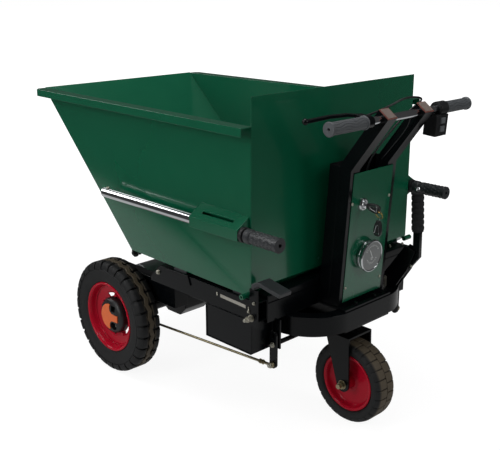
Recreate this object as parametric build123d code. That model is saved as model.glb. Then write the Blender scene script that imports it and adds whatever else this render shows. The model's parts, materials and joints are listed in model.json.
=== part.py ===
from build123d import *
import os
from math import cos, hypot, pi, radians, sin, tan

# Electric dump tricycle: an open steel hopper that tips forward over two driven front wheels, on a
# tube frame with a rear caster and a control column. Millimetres; +X is the way the load is tipped,
# +Y the left side, +Z up. Sizes are laid out from the front axle line on the ground and moved to
# the middle of the machine's footprint when they are saved.

# Wheels
FRONT_RADIUS = 200.0
FRONT_WIDTH = 88.0
FRONT_RIM_RADIUS = 123.0
HALF_TRACK = 317.0
CASTER_RADIUS = 131.5
CASTER_WIDTH = 84.0
CASTER_RIM_RADIUS = 93.0
WHEELBASE = 814.0
CASTER_TRAIL = 27.0
RIM_SHEET = 4.0
RIM_LIP = 4.0
FRONT_RIM_STEP = 9.0
CASTER_RIM_STEP = 8.0
FRONT_SHOULDER = 30.0
FRONT_TREAD_HALF = 35.0
CASTER_SHOULDER = 14.0
CASTER_TREAD_HALF = 28.0
AXLE_SHAFT_RADIUS = 12.5
HUB_RADIUS = 39.0
HUB_CAP_RADIUS = 64.0
HUB_CAP_HEIGHT = 29.0
HUB_CAP_DOME = 4.0
HUB_CAP_EDGE = 9.0
HUB_CAP_FACE_RADIUS = 38.0
RIM_WINDOW_COUNT = 5
RIM_WINDOW_INNER = 68.0
RIM_WINDOW_OUTER = 88.0
RIM_WINDOW_WIDTH = 44.0

# Tyres are turned in flat facets, which keeps them light; lugs are left between shoulder notches
FRONT_FACETS = 88
CASTER_FACETS = 72
TYRE_WALL_EDGE = 2.0
LUG_COUNT = 22
LUG_NOTCH = 9.0
LUG_DEPTH = 9.0
LUG_REACH = 20.0

# Clearances
RUNNING_FIT = 0.05
SEAT_GAP = 0.3
SWING_GAP = 6.0

# Hopper
SHEET = 3.0
HOPPER_REAR_X = -726.0
HOPPER_LIP_X = 347.0
HOPPER_FLOOR_FRONT_X = -151.0
HOPPER_FLOOR_Z = 483.0
HOPPER_RIM_Z = 966.0
HOPPER_REAR_HALF = 366.0
HOPPER_FRONT_HALF = 338.0
HOPPER_CHAMFER = 22.0
REAR_PLATE_RISE = 79.0
FLANGE_OUT = 39.0
FLANGE_DROP = 24.0
FLANGE_CORNER = 14.0

# Tipping hinge
HINGE_X = -141.0
HINGE_Z = 466.0
HINGE_SHAFT_RADIUS = 8.0
HINGE_TUBE_RADIUS = 12.0
HINGE_TUBE_HALF = 110.0
EAR_RADIUS = 14.0
EAR_THICKNESS = 8.0
EAR_OUTER_Y = 334.0
HINGE_SHAFT_OVERHANG = 6.0

# Lift handles on the hopper sides
LIFT_TUBE_RADIUS = 16.0
LIFT_TUBE_WALL = 2.0
LIFT_TUBE_STANDOFF = 24.0
LIFT_TUBE_Z = 672.0
LIFT_TUBE_FRONT_X = -71.0
LIFT_GRIP_RADIUS = 21.0
LIFT_GRIP_LENGTH = 123.0
HOLDER_FRONT_X = -518.0
HOLDER_LENGTH = 200.0
HOLDER_FACE_STANDOFF = 46.0
HOLDER_ROOT = 28.0
HOLDER_FACE_HALF = 16.0
HOLDER_TOP_RISE = 43.0
HOLDER_BOTTOM_DROP = 32.0
HOLDER_END_PLATE = 12.0
HOLDER_SLOT_LENGTH = 130.0
HOLDER_SLOT_WIDTH = 9.0
COLLAR_RADIUS = 22.0
COLLAR_LENGTH = 12.0

# Frame tubes
TUBE_WALL = 3.0
TUBE_WIDTH = 40.0
TUBE_HEIGHT = 60.0
U_FRAME_HALF = 250.0
U_FRAME_TOP_Z = 400.0
U_FRAME_REAR_X = -862.0
U_FRAME_FRONT_X = -257.0
U_FRAME_CORNER = 150.0
RAIL_TOP_Z = 473.0
RAIL_FRONT_X = -268.0
RAIL_FRONT_SLOPE = 45.0
RAIL_REAR_X = -751.0
REST_PAD_LENGTH = 60.0
CROSS_TOP_Z = 460.0
FRONT_CROSS_X = -325.0
LOWER_CROSS_X = -620.0
STRINGER_Y = 45.0
BEAM_OUTER_Y = 260.0
BEAM_WIDTH = 42.0
BEAM_TOP_Z = 358.0
BEAM_HEIGHT = 80.0
BEAM_FRONT_X = 60.0
BEAM_PLATE = 10.0
BEAM_PLATE_MARGIN = 5.0
HINGE_CROSS_DEPTH = 70.0
HINGE_CROSS_HEIGHT = 60.0
HINGE_UPRIGHT = 10.0

# Drive axle
AXLE_HOUSING_RADIUS = 30.0
AXLE_HANGER_HALF = 42.0
AXLE_HANGER_THICKNESS = 28.0
GEARBOX_HALF_WIDTH = 60.0
GEARBOX_DROP = 70.0
MOTOR_RADIUS = 60.0
MOTOR_LENGTH = 126.0
MOTOR_X = 30.0
MOTOR_Z = 285.0
BRAKE_PLATE_RADIUS = 70.0
BRAKE_PLATE_THICKNESS = 6.0

# Caster
FORK_PLATE = 6.0
FORK_INNER_HALF = 50.0
FORK_TOP_Z = 290.0
FORK_TOP_HALF_LENGTH = 46.0
FORK_EYE_RADIUS = 24.0
CASTER_BOLT_RADIUS = 8.0
CASTER_STEM_RADIUS = 12.0
CASTER_STEM_RISE = 24.0
CASTER_HUB_RADIUS = 22.0
CASTER_BOLT_OVERHANG = 22.0
BEARING_RADIUS = 28.0
CASTER_PLATE = 6.0
CASTER_PLATE_HALF = 105.0

# Brake linkage
BRAKE_SHAFT_X = -748.0
BRAKE_SHAFT_Z = 324.0
BRAKE_SHAFT_RADIUS = 7.0
BRAKE_ARM_INNER_Y = 292.0
BRAKE_ARM_THICKNESS = 8.0
BRAKE_ARM_RADIUS = 13.0
BRAKE_ARM_REACH = 62.0
BRAKE_ARM_TOP = 28.0
BRAKE_ROD_RADIUS = 4.0
BRAKE_EYE_RADIUS = 9.0
BRAKE_EYE_THICKNESS = 11.0
BRAKE_ROD_FRONT_X = -62.0
BRAKE_ROD_FRONT_Z = 180.0

# Battery boxes
BATTERY_FRONT_X = -534.0
BATTERY_REAR_X = -728.0
BATTERY_BOTTOM_Z = 307.0
BATTERY_INNER_Y = 252.0

# Foot latch
LATCH_BAR_RADIUS = 8.0
LATCH_BAR_X = -720.0
LATCH_BAR_Z = 491.0
LATCH_BAR_OVERHANG = 34.0
LATCH_PLATE = 6.0
LATCH_WIDTH = 30.0
LATCH_BOTTOM_Z = 404.0
LATCH_TOP_Z = 515.0
LATCH_BOSS_RADIUS = 12.0
PEDAL_WIDTH = 48.0
PEDAL_THICKNESS = 12.0
PEDAL_LENGTH = 102.0
PEDAL_RISE = 22.0
PEDAL_OVERHANG = 2.0

# Control column, laid out upright and then leaned back
COLUMN_LEAN = 4.04
COLUMN_REAR_X = -829.0
COLUMN_FOOT = 8.0
COLUMN_HEIGHT = 423.0
POST_DEPTH = 40.0
POST_WIDTH = 40.0
POST_OUTER_Y = 106.0
ARM_LENGTH = 203.0
ARM_LEAN = 32.56
ARM_CAP = 3.0
HOUSING_DEPTH = 38.0
HOUSING_SHEET = 2.0
PANEL_WIDTH = 182.0
PANEL_BOTTOM = 12.0
PANEL_HEIGHT = 396.0
GAUGE_RADIUS = 50.0
GAUGE_DEPTH = 25.0
GAUGE_HEIGHT = 146.0
LOCK_RADIUS = 17.0
LOCK_DEPTH = 8.0
LOCK_HEIGHT = 311.0
LOCK_Y = 42.0

# Handlebar
BAR_RADIUS = 11.0
BAR_SETBACK = 16.5
BAR_HALF = 311.0
GRIP_RADIUS = 17.5
GRIP_END_RADIUS = 20.0
GRIP_END = 6.0
LEFT_GRIP_LENGTH = 138.0
RIGHT_GRIP_LENGTH = 118.0
LEVER_CLAMP_LENGTH = 26.0
LEVER_CLAMP_RADIUS = 16.0
LEVER_BODY_REACH = 34.0
LEVER_REACH = 62.0
LEVER_OVERHANG = 30.0
LEVER_WIDTH = 13.0
LEVER_THICKNESS = 8.0
THROTTLE_LENGTH = 36.0
THROTTLE_RADIUS = 21.0
SWITCH_BOX_DROP = 76.0

# Brake cable, from the lever over the arms and down into the column's open top
CABLE_RADIUS = 3.0
CABLE_BEND = 10.0
CABLE_FORWARD = 20.0
CABLE_RISE = 45.0
CABLE_LOOP_Y = -130.0

# Parking brake lever: heights are above the U frame's top, distances back from its rear face
PARK_Y = -175.0
PARK_PLATE = 4.0
PARK_GAP = 20.0
PARK_FOOT_FRONT = 67.0
PARK_FOOT_LENGTH = 40.0
PARK_HEEL_RISE = 44.0
PARK_HEAD_RISE = 148.0
PARK_HEAD_BACK = 43.0
PARK_PIVOT_FRONT = 17.0
PARK_PIVOT_RISE = 46.0
PARK_PIVOT_RADIUS = 14.0
PARK_KNEE_BACK = 42.0
PARK_KNEE_RISE = 122.0
PARK_NECK_BACK = 40.0
PARK_NECK_RISE = 197.0
PARK_TIP_BACK = 31.5
PARK_TIP_RISE = 322.0
PARK_BUTTON = 14.0
PARK_ROD_RADIUS = 6.0
PARK_LEVER_WIDTH = 24.0
PARK_LEVER_THICKNESS = 14.0
PARK_GRIP_RADIUS = 17.0

parts = {}


def block(x_span, y_span, z_span):
    """A box given by its low and high X, Y and Z."""
    spans = (x_span, y_span, z_span)
    centre = [(low + high) / 2 for low, high in spans]
    size = [high - low for low, high in spans]
    return Pos(*centre) * Box(*size)


def rod_y(x, z, radius, y_span):
    """A round bar along Y."""
    low, high = y_span
    return Pos(x, (low + high) / 2, z) * Rot(90, 0, 0) * Cylinder(radius, high - low)


def rod_x(y, z, radius, x_span):
    """A round bar along X."""
    low, high = x_span
    return Pos((low + high) / 2, y, z) * Rot(0, 90, 0) * Cylinder(radius, high - low)


def rod_between(start, end, radius):
    """A round bar from one point to another."""
    along = Vector(*end) - Vector(*start)
    plane = Plane(origin=start, z_dir=along)
    return plane * Cylinder(radius, along.length, align=(Align.CENTER, Align.CENTER, Align.MIN))


def plate_xz(outline, y_span):
    """A flat plate in XZ, extruded along Y."""
    low, high = y_span
    face = make_face(Polyline(*[(x, low, z) for x, z in outline], close=True))
    return extrude(face, amount=high - low, dir=(0, 1, 0))


def plate_xy(outline, z_span):
    """A flat plate in XY, extruded along Z."""
    low, high = z_span
    face = make_face(Polyline(*[(x, y, low) for x, y in outline], close=True))
    return extrude(face, amount=high - low, dir=(0, 0, 1))


def plate_yz(outline, x_span):
    """A flat plate in YZ, extruded along X."""
    low, high = x_span
    face = make_face(Polyline(*[(low, y, z) for y, z in outline], close=True))
    return extrude(face, amount=high - low, dir=(1, 0, 0))


def turned(outline, centre, axis_z):
    """A solid of revolution about a wheel's axle; the outline holds (radius, offset along Y)."""
    x, y = centre
    face = make_face(Polyline(*[(x + radius, y + along, axis_z) for radius, along in outline], close=True))
    return revolve(face, axis=Axis((x, y, axis_z), (0, 1, 0)))


def offset_line(points, distance):
    """The open polyline moved sideways to its left, with mitred corners."""
    normals = []
    for (x0, z0), (x1, z1) in zip(points, points[1:]):
        length = hypot(x1 - x0, z1 - z0)
        normals.append((-(z1 - z0) / length, (x1 - x0) / length))
    moved = []
    for index, (x, z) in enumerate(points):
        before = normals[max(index - 1, 0)]
        after = normals[min(index, len(normals) - 1)]
        scale = distance / (1 + before[0] * after[0] + before[1] * after[1])
        moved.append((x + (before[0] + after[0]) * scale, z + (before[1] + after[1]) * scale))
    return moved


def strip(points, width):
    """The closed outline of a bent bar whose middle follows the points."""
    return offset_line(points, width / 2) + offset_line(points, -width / 2)[::-1]


def mirrored(shape):
    """The same piece on the other side of the machine."""
    return mirror(shape, about=Plane.XZ)


def pair(shape):
    """A piece and its twin on the other side, as two solids in one node."""
    return [shape, mirrored(shape)]


def box_tube(x_span, y_span, z_span, open_axis):
    """A square tube along one axis, open at both ends."""
    spans = [x_span, y_span, z_span]
    inside = [(low + TUBE_WALL, high - TUBE_WALL) for low, high in spans]
    inside[open_axis] = spans[open_axis]
    return block(*spans) - block(*inside)


# Frame: the U-shaped tube that carries the column and the caster, lying under the hopper's rails
leg_inner_y = U_FRAME_HALF - TUBE_WIDTH
u_bottom_z = U_FRAME_TOP_Z - TUBE_HEIGHT
u_inner_x = U_FRAME_REAR_X + TUBE_WIDTH


def u_slab(inset, z_span):
    """The U frame's outer plan, drawn in by an inset, with its two rear corners rounded."""
    half = U_FRAME_HALF - inset
    slab = block((U_FRAME_REAR_X + inset, U_FRAME_FRONT_X), (-half, half), z_span)
    rear_corners = slab.edges().filter_by(Axis.Z).sort_by(Axis.X)[0:2]
    return fillet(rear_corners, U_FRAME_CORNER - inset)


u_z = (u_bottom_z, U_FRAME_TOP_Z)
u_hollow_z = (u_bottom_z + TUBE_WALL, U_FRAME_TOP_Z - TUBE_WALL)
u_tube = u_slab(0, u_z) - u_slab(TUBE_WIDTH, u_z)
u_tube -= u_slab(TUBE_WALL, u_hollow_z) - u_slab(TUBE_WIDTH - TUBE_WALL, u_hollow_z)
parts["u_frame"] = u_tube

cross_half = TUBE_WIDTH / 2
parts["lower_cross_member"] = box_tube(
    (LOWER_CROSS_X - cross_half, LOWER_CROSS_X + cross_half), (-leg_inner_y, leg_inner_y), u_z, 1
)
stringer = box_tube(
    (u_inner_x, LOWER_CROSS_X - cross_half), (STRINGER_Y - cross_half, STRINGER_Y + cross_half), u_z, 0
)
parts["column_stringers"] = pair(stringer)

# Frame: the two outer rails under the hopper and the cross members that join them to the U frame
rail_bottom_z = RAIL_TOP_Z - TUBE_HEIGHT
rail_y = (HOPPER_REAR_HALF - TUBE_WIDTH, HOPPER_REAR_HALF)
rail = box_tube((RAIL_REAR_X, RAIL_FRONT_X), rail_y, (rail_bottom_z, RAIL_TOP_Z), 0)
rail_nose = [
    (RAIL_FRONT_X - RAIL_FRONT_SLOPE, RAIL_TOP_Z),
    (RAIL_FRONT_X, RAIL_TOP_Z),
    (RAIL_FRONT_X, RAIL_TOP_Z - RAIL_FRONT_SLOPE),
]
rail -= plate_xz(rail_nose, rail_y)
parts["side_rails"] = pair(rail)

rear_cross_x = (RAIL_REAR_X, RAIL_REAR_X + TUBE_WIDTH)
front_cross_x = (FRONT_CROSS_X - cross_half, FRONT_CROSS_X + cross_half)
cross_members = []
for cross_x in (rear_cross_x, front_cross_x):
    cross_members.append(box_tube(cross_x, (-rail_y[0], rail_y[0]), (U_FRAME_TOP_Z, CROSS_TOP_Z), 1))
parts["rail_cross_members"] = cross_members

pad_z = (RAIL_TOP_Z, HOPPER_FLOOR_Z - SEAT_GAP)
pads = []
for pad_x in (RAIL_REAR_X + 2 * TUBE_WIDTH, FRONT_CROSS_X - 2 * TUBE_WIDTH):
    for side in (1, -1):
        pad_y = sorted((side * (rail_y[0] + TUBE_WALL), side * (rail_y[1] - 3 * TUBE_WALL)))
        pads.append(block((pad_x - REST_PAD_LENGTH / 2, pad_x + REST_PAD_LENGTH / 2), pad_y, pad_z))
parts["rest_pads"] = pads

# Frame: the beams that carry the drive axle, welded to end plates on the U frame's legs
beam_bottom_z = BEAM_TOP_Z - BEAM_HEIGHT
beam_y = (BEAM_OUTER_Y - BEAM_WIDTH, BEAM_OUTER_Y)
beam_rear_x = U_FRAME_FRONT_X + BEAM_PLATE
beam = box_tube((beam_rear_x, BEAM_FRONT_X), beam_y, (beam_bottom_z, BEAM_TOP_Z), 0)
end_plate = block(
    (U_FRAME_FRONT_X, beam_rear_x),
    (leg_inner_y - BEAM_PLATE_MARGIN, BEAM_OUTER_Y),
    (beam_bottom_z, U_FRAME_TOP_Z + BEAM_PLATE_MARGIN),
)
parts["axle_beams"] = pair(beam + end_plate)

# Frame: the cross member and uprights that carry the tipping hinge
hinge_cross_x = (HINGE_X - HINGE_CROSS_DEPTH / 2, HINGE_X + HINGE_CROSS_DEPTH / 2)
hinge_cross_z = (BEAM_TOP_Z - HINGE_CROSS_HEIGHT, BEAM_TOP_Z)
parts["hinge_cross_member"] = box_tube(hinge_cross_x, (-beam_y[0], beam_y[0]), hinge_cross_z, 1)
upright_outline = [
    (hinge_cross_x[0], BEAM_TOP_Z),
    (hinge_cross_x[1], BEAM_TOP_Z),
    (HINGE_X + HINGE_TUBE_RADIUS, HINGE_Z),
    (HINGE_X - HINGE_TUBE_RADIUS, HINGE_Z),
]
upright = plate_xz(upright_outline, (HINGE_TUBE_HALF - HINGE_UPRIGHT, HINGE_TUBE_HALF))
hinge_tube = rod_y(HINGE_X, HINGE_Z, HINGE_TUBE_RADIUS, (-HINGE_TUBE_HALF, HINGE_TUBE_HALF))
hinge_bore = rod_y(
    HINGE_X, HINGE_Z, HINGE_SHAFT_RADIUS + RUNNING_FIT, (-HINGE_TUBE_HALF, HINGE_TUBE_HALF)
)
parts["hinge_bearing"] = hinge_tube + upright + mirrored(upright) - hinge_bore

# Drive axle: housing tube, gearbox and motor between the front wheels
axle_z = FRONT_RADIUS
hanger_outer_y = beam_y[0] + AXLE_HANGER_THICKNESS + BEAM_WIDTH / 6
housing_end_y = hanger_outer_y + BRAKE_PLATE_THICKNESS
gearbox_outline = [
    (-GEARBOX_DROP, axle_z - GEARBOX_DROP / 2),
    (-GEARBOX_DROP / 2, axle_z - GEARBOX_DROP),
    (GEARBOX_DROP / 2, axle_z - GEARBOX_DROP),
    (MOTOR_X + MOTOR_RADIUS, axle_z - GEARBOX_DROP / 2),
    (MOTOR_X + MOTOR_RADIUS, MOTOR_Z + MOTOR_RADIUS / 2),
    (MOTOR_X + MOTOR_RADIUS / 2, MOTOR_Z + MOTOR_RADIUS),
    (MOTOR_X - MOTOR_RADIUS / 2, MOTOR_Z + MOTOR_RADIUS),
    (-GEARBOX_DROP, axle_z + GEARBOX_DROP / 2),
]
housing = rod_y(0, axle_z, AXLE_HOUSING_RADIUS, (-housing_end_y, housing_end_y))
parts["axle_housing"] = housing + plate_xz(gearbox_outline, (-GEARBOX_HALF_WIDTH, GEARBOX_HALF_WIDTH))
parts["drive_motor"] = rod_y(
    MOTOR_X, MOTOR_Z, MOTOR_RADIUS, (GEARBOX_HALF_WIDTH, GEARBOX_HALF_WIDTH + MOTOR_LENGTH)
)

hanger_y = (hanger_outer_y - AXLE_HANGER_THICKNESS, hanger_outer_y)
hanger = block((-AXLE_HANGER_HALF, AXLE_HANGER_HALF), hanger_y, (axle_z - AXLE_HANGER_HALF, beam_bottom_z))
parts["axle_hangers"] = pair(hanger - rod_y(0, axle_z, AXLE_HOUSING_RADIUS, hanger_y))

brake_plate_y = (hanger_outer_y, housing_end_y)
brake_plate = rod_y(0, axle_z, BRAKE_PLATE_RADIUS, brake_plate_y)
brake_plate += rod_y(BRAKE_ROD_FRONT_X, BRAKE_ROD_FRONT_Z, 2 * BRAKE_EYE_RADIUS, brake_plate_y)
brake_plate -= rod_y(0, axle_z, AXLE_HOUSING_RADIUS, brake_plate_y)
parts["brake_plates"] = pair(brake_plate)

shaft_end_y = HALF_TRACK + FRONT_WIDTH / 10
parts["axle_shafts"] = pair(rod_y(0, axle_z, AXLE_SHAFT_RADIUS, (housing_end_y, shaft_end_y)))

# Front wheels: tyre, dished rim and hub cap, one of each on either side
rim_half = FRONT_WIDTH * 0.41
rim_base = FRONT_RIM_RADIUS - FRONT_RIM_STEP
front_half = FRONT_WIDTH / 2


def faceted(sections, centre, axis_z, facets):
    """A drum along Y in flat facets, through (corner radius, offset) sections."""
    x, y = centre
    rings = []
    for radius, along in sections:
        rings.append(Plane(origin=(x, y + along, axis_z), z_dir=(0, 1, 0)) * RegularPolygon(radius, facets))
    return loft([ring.face() for ring in rings], ruled=True)


def tyre(bead, seat, shoulder, tread, centre, facets):
    """A tyre whose sidewalls run straight from the rim's seat; its corners are (radius, offset)."""
    slope = (shoulder[1] - seat[1]) / (shoulder[0] - seat[0])
    bore = (bead / cos(pi / facets), seat[1] - slope * (seat[0] - bead))
    wall_edge = (shoulder[0] - TYRE_WALL_EDGE, shoulder[1])
    outer, inner = [
        [(radius, -along) for radius, along in half] + [(radius, along) for radius, along in reversed(half)]
        for half in ((shoulder, tread), (wall_edge, bore))
    ]
    axis_z = tread[0]
    return faceted(outer, centre, axis_z, facets) - faceted(inner, centre, axis_z, facets)


disc_out = FRONT_WIDTH * 0.1
disc_in = -FRONT_WIDTH * 0.1
rim_inside = rim_base - RIM_SHEET
hub_seat = HUB_RADIUS + SEAT_GAP
rim_outline = [
    (FRONT_RIM_RADIUS, rim_half),
    (rim_inside, rim_half),
    (rim_inside, disc_out),
    (hub_seat, disc_in),
    (hub_seat, disc_in - RIM_SHEET),
    (rim_inside, disc_out - RIM_SHEET),
    (rim_inside, -rim_half),
    (FRONT_RIM_RADIUS, -rim_half),
    (FRONT_RIM_RADIUS, -rim_half + RIM_LIP),
    (rim_base, -rim_half + RIM_LIP),
    (rim_base, rim_half - RIM_LIP),
    (FRONT_RIM_RADIUS, rim_half - RIM_LIP),
]
cap_base = disc_in + RIM_SHEET
cap_face = cap_base + HUB_CAP_HEIGHT
hub_inner = -rim_half
bore_end = shaft_end_y - HALF_TRACK + SEAT_GAP
bore_radius = AXLE_SHAFT_RADIUS + RUNNING_FIT
hub_outline = [
    (0, bore_end),
    (0, cap_face + HUB_CAP_DOME),
    (HUB_CAP_FACE_RADIUS, cap_face + HUB_CAP_DOME),
    (HUB_CAP_RADIUS - HUB_CAP_EDGE, cap_face),
    (HUB_CAP_RADIUS, cap_face - HUB_CAP_EDGE),
    (HUB_CAP_RADIUS, cap_base + HUB_CAP_DOME),
    (HUB_RADIUS, cap_base + HUB_CAP_DOME),
    (HUB_RADIUS, hub_inner),
    (bore_radius, hub_inner),
    (bore_radius, bore_end),
]
left_centre = (0, HALF_TRACK)
left_tyre = tyre(
    bead=rim_base + SEAT_GAP,
    seat=(FRONT_RIM_RADIUS, rim_half - RIM_LIP - SEAT_GAP),
    shoulder=(FRONT_RADIUS - FRONT_SHOULDER, front_half),
    tread=(FRONT_RADIUS, FRONT_TREAD_HALF),
    centre=left_centre,
    facets=FRONT_FACETS,
)
lug_floor = FRONT_RADIUS - LUG_DEPTH
notches = []
for edge in (1, -1):
    notch_y = sorted((edge * (front_half - LUG_REACH), edge * (front_half + LUG_REACH)))
    for turn in range(LUG_COUNT):
        angle = 360 / LUG_COUNT * (turn + edge / 4)
        notch = block((lug_floor, FRONT_RADIUS + LUG_DEPTH), notch_y, (-LUG_NOTCH / 2, LUG_NOTCH / 2))
        notches.append(Pos(0, HALF_TRACK, axle_z) * Rot(0, angle, 0) * notch)
left_tyre = left_tyre.cut(*notches)
left_rim = turned(rim_outline, left_centre, axle_z)
window_x = (RIM_WINDOW_INNER, RIM_WINDOW_OUTER)
window_z = (-RIM_WINDOW_WIDTH / 2, RIM_WINDOW_WIDTH / 2)
for turn in range(RIM_WINDOW_COUNT):
    window = Rot(0, 360 / RIM_WINDOW_COUNT * turn, 0) * block(window_x, (-rim_half, rim_half), window_z)
    left_rim -= Pos(0, HALF_TRACK, axle_z) * window
left_hub = turned(hub_outline, left_centre, axle_z)
for name, left in (("tyre", left_tyre), ("rim", left_rim), ("hub", left_hub)):
    parts[f"front_{name}_left"] = left
    parts[f"front_{name}_right"] = mirrored(left)

# Caster: mounting plate with its bearing, swivelling fork, axle bolt, rim and tyre
swivel_x = -WHEELBASE + CASTER_TRAIL
plate_z = (u_bottom_z - CASTER_PLATE, u_bottom_z)
caster_plate = block(
    (U_FRAME_REAR_X + TUBE_WALL, LOWER_CROSS_X - cross_half),
    (-CASTER_PLATE_HALF, CASTER_PLATE_HALF),
    plate_z,
)
fork_seat_z = FORK_TOP_Z + SEAT_GAP
bearing_z = (fork_seat_z, plate_z[0])
bearing_height = bearing_z[1] - bearing_z[0]
bearing = Pos(swivel_x, 0, sum(bearing_z) / 2) * Cylinder(BEARING_RADIUS, bearing_height)
stem_top_z = u_bottom_z + CASTER_STEM_RISE
stem_height = stem_top_z - FORK_TOP_Z
stem_middle_z = (stem_top_z + FORK_TOP_Z) / 2
stem_hole = Pos(swivel_x, 0, stem_middle_z) * Cylinder(CASTER_STEM_RADIUS + RUNNING_FIT, 2 * stem_height)
parts["caster_mount"] = caster_plate + bearing - stem_hole

fork_outer = FORK_INNER_HALF + FORK_PLATE
bridge = block(
    (swivel_x - FORK_TOP_HALF_LENGTH, swivel_x + FORK_TOP_HALF_LENGTH),
    (-fork_outer, fork_outer),
    (FORK_TOP_Z - FORK_PLATE, FORK_TOP_Z),
)
leg_outline = [
    (swivel_x - FORK_TOP_HALF_LENGTH, FORK_TOP_Z),
    (-WHEELBASE - FORK_EYE_RADIUS, CASTER_RADIUS),
    (-WHEELBASE + FORK_EYE_RADIUS, CASTER_RADIUS),
    (swivel_x + FORK_TOP_HALF_LENGTH, FORK_TOP_Z),
]
leg_y_span = (FORK_INNER_HALF, fork_outer)
leg = plate_xz(leg_outline, leg_y_span)
leg += rod_y(-WHEELBASE, CASTER_RADIUS, FORK_EYE_RADIUS, leg_y_span)
leg -= rod_y(-WHEELBASE, CASTER_RADIUS, CASTER_BOLT_RADIUS, leg_y_span)
stem = Pos(swivel_x, 0, stem_middle_z) * Cylinder(CASTER_STEM_RADIUS, stem_height)
parts["caster_fork"] = bridge + leg + mirrored(leg) + stem
bolt_end_y = fork_outer + CASTER_BOLT_OVERHANG
axle_bolt = rod_y(-WHEELBASE, CASTER_RADIUS, CASTER_BOLT_RADIUS, (-bolt_end_y, bolt_end_y))
parts["caster_axle_bolt"] = axle_bolt

caster_half = CASTER_WIDTH / 2
caster_rim_half = caster_half * 0.8
caster_rim_base = CASTER_RIM_RADIUS - CASTER_RIM_STEP
hub_end = FORK_INNER_HALF - SEAT_GAP
bolt_bore = CASTER_BOLT_RADIUS + RUNNING_FIT
caster_disc = caster_half * 0.3
caster_inside = caster_rim_base - RIM_SHEET
caster_rim_outline = [
    (CASTER_RIM_RADIUS, caster_rim_half),
    (caster_inside, caster_rim_half),
    (caster_inside, caster_disc),
    (CASTER_HUB_RADIUS, caster_disc + RIM_SHEET),
    (CASTER_HUB_RADIUS, hub_end),
    (bolt_bore, hub_end),
    (bolt_bore, -hub_end),
    (CASTER_HUB_RADIUS, -hub_end),
    (CASTER_HUB_RADIUS, caster_disc - RIM_SHEET / 2),
    (caster_inside, caster_disc - RIM_SHEET),
    (caster_inside, -caster_rim_half),
    (CASTER_RIM_RADIUS, -caster_rim_half),
    (CASTER_RIM_RADIUS, -caster_rim_half + RIM_LIP),
    (caster_rim_base, -caster_rim_half + RIM_LIP),
    (caster_rim_base, caster_rim_half - RIM_LIP),
    (CASTER_RIM_RADIUS, caster_rim_half - RIM_LIP),
]
caster_centre = (-WHEELBASE, 0)
parts["caster_tyre"] = tyre(
    bead=caster_rim_base + SEAT_GAP,
    seat=(CASTER_RIM_RADIUS, caster_rim_half - RIM_LIP - SEAT_GAP),
    shoulder=(CASTER_RADIUS - CASTER_SHOULDER, caster_half),
    tread=(CASTER_RADIUS, CASTER_TREAD_HALF),
    centre=caster_centre,
    facets=CASTER_FACETS,
)
parts["caster_rim"] = turned(caster_rim_outline, caster_centre, CASTER_RADIUS)

# Hopper: folded sheet panels round a hollow that narrows a little towards the lip
rear_plate_z = HOPPER_RIM_Z + REAR_PLATE_RISE
profile = [
    (HOPPER_REAR_X, rear_plate_z),
    (HOPPER_REAR_X, HOPPER_FLOOR_Z + HOPPER_CHAMFER),
    (HOPPER_REAR_X + HOPPER_CHAMFER, HOPPER_FLOOR_Z),
    (HOPPER_FLOOR_FRONT_X, HOPPER_FLOOR_Z),
    (HOPPER_LIP_X, HOPPER_RIM_Z),
]
inner_profile = offset_line(profile, SHEET)


def half_width(x, inset=0.0):
    """Half the hopper's outer width at a distance along it, less an inset."""
    along = (x - HOPPER_REAR_X) / (HOPPER_LIP_X - HOPPER_REAR_X)
    return HOPPER_REAR_HALF + along * (HOPPER_FRONT_HALF - HOPPER_REAR_HALF) - inset


def plan_prism(inset, z_span):
    """The hopper's tapered plan, less an inset each side, as an upright prism."""
    rear, front = half_width(HOPPER_REAR_X, inset), half_width(HOPPER_LIP_X, inset)
    outline = [(HOPPER_REAR_X, rear), (HOPPER_LIP_X, front), (HOPPER_LIP_X, -front), (HOPPER_REAR_X, -rear)]
    return plate_xy(outline, z_span)


hopper_z = (HOPPER_FLOOR_Z, rear_plate_z)
hopper_inside = plan_prism(SHEET, hopper_z)
full_y = (-HOPPER_REAR_HALF, HOPPER_REAR_HALF)
rear_wall = plate_xz(profile[0:3] + inner_profile[0:3][::-1], full_y)
parts["hopper_rear_wall"] = rear_wall & plan_prism(0, hopper_z)
parts["hopper_floor"] = plate_xz(profile[2:4] + inner_profile[2:4][::-1], full_y) & hopper_inside
parts["hopper_front_wall"] = plate_xz(profile[3:5] + inner_profile[3:5][::-1], full_y) & hopper_inside

wall_rear_x = HOPPER_REAR_X + SHEET
side_outline = [(wall_rear_x, HOPPER_RIM_Z), inner_profile[1], inner_profile[2]] + profile[2:5]
side_plan = [
    (HOPPER_REAR_X, half_width(HOPPER_REAR_X)),
    (HOPPER_REAR_X, half_width(HOPPER_REAR_X, SHEET)),
    (HOPPER_LIP_X, half_width(HOPPER_LIP_X, SHEET)),
    (HOPPER_LIP_X, half_width(HOPPER_LIP_X)),
]
side_wall = plate_xy(side_plan, hopper_z) & plate_xz(side_outline, (0, 2 * HOPPER_REAR_HALF))


def flange_plan(reach, z_span):
    """The rim flange as a flat strip reaching out from the side wall, its front corner cut off."""
    outline = [
        (HOPPER_REAR_X, half_width(HOPPER_REAR_X)),
        (HOPPER_REAR_X, half_width(HOPPER_REAR_X, -reach)),
        (HOPPER_LIP_X - FLANGE_CORNER, half_width(HOPPER_LIP_X - FLANGE_CORNER, -reach)),
        (HOPPER_LIP_X, half_width(HOPPER_LIP_X, FLANGE_CORNER - reach)),
        (HOPPER_LIP_X, half_width(HOPPER_LIP_X)),
    ]
    return plate_xy(outline, z_span)


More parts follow.
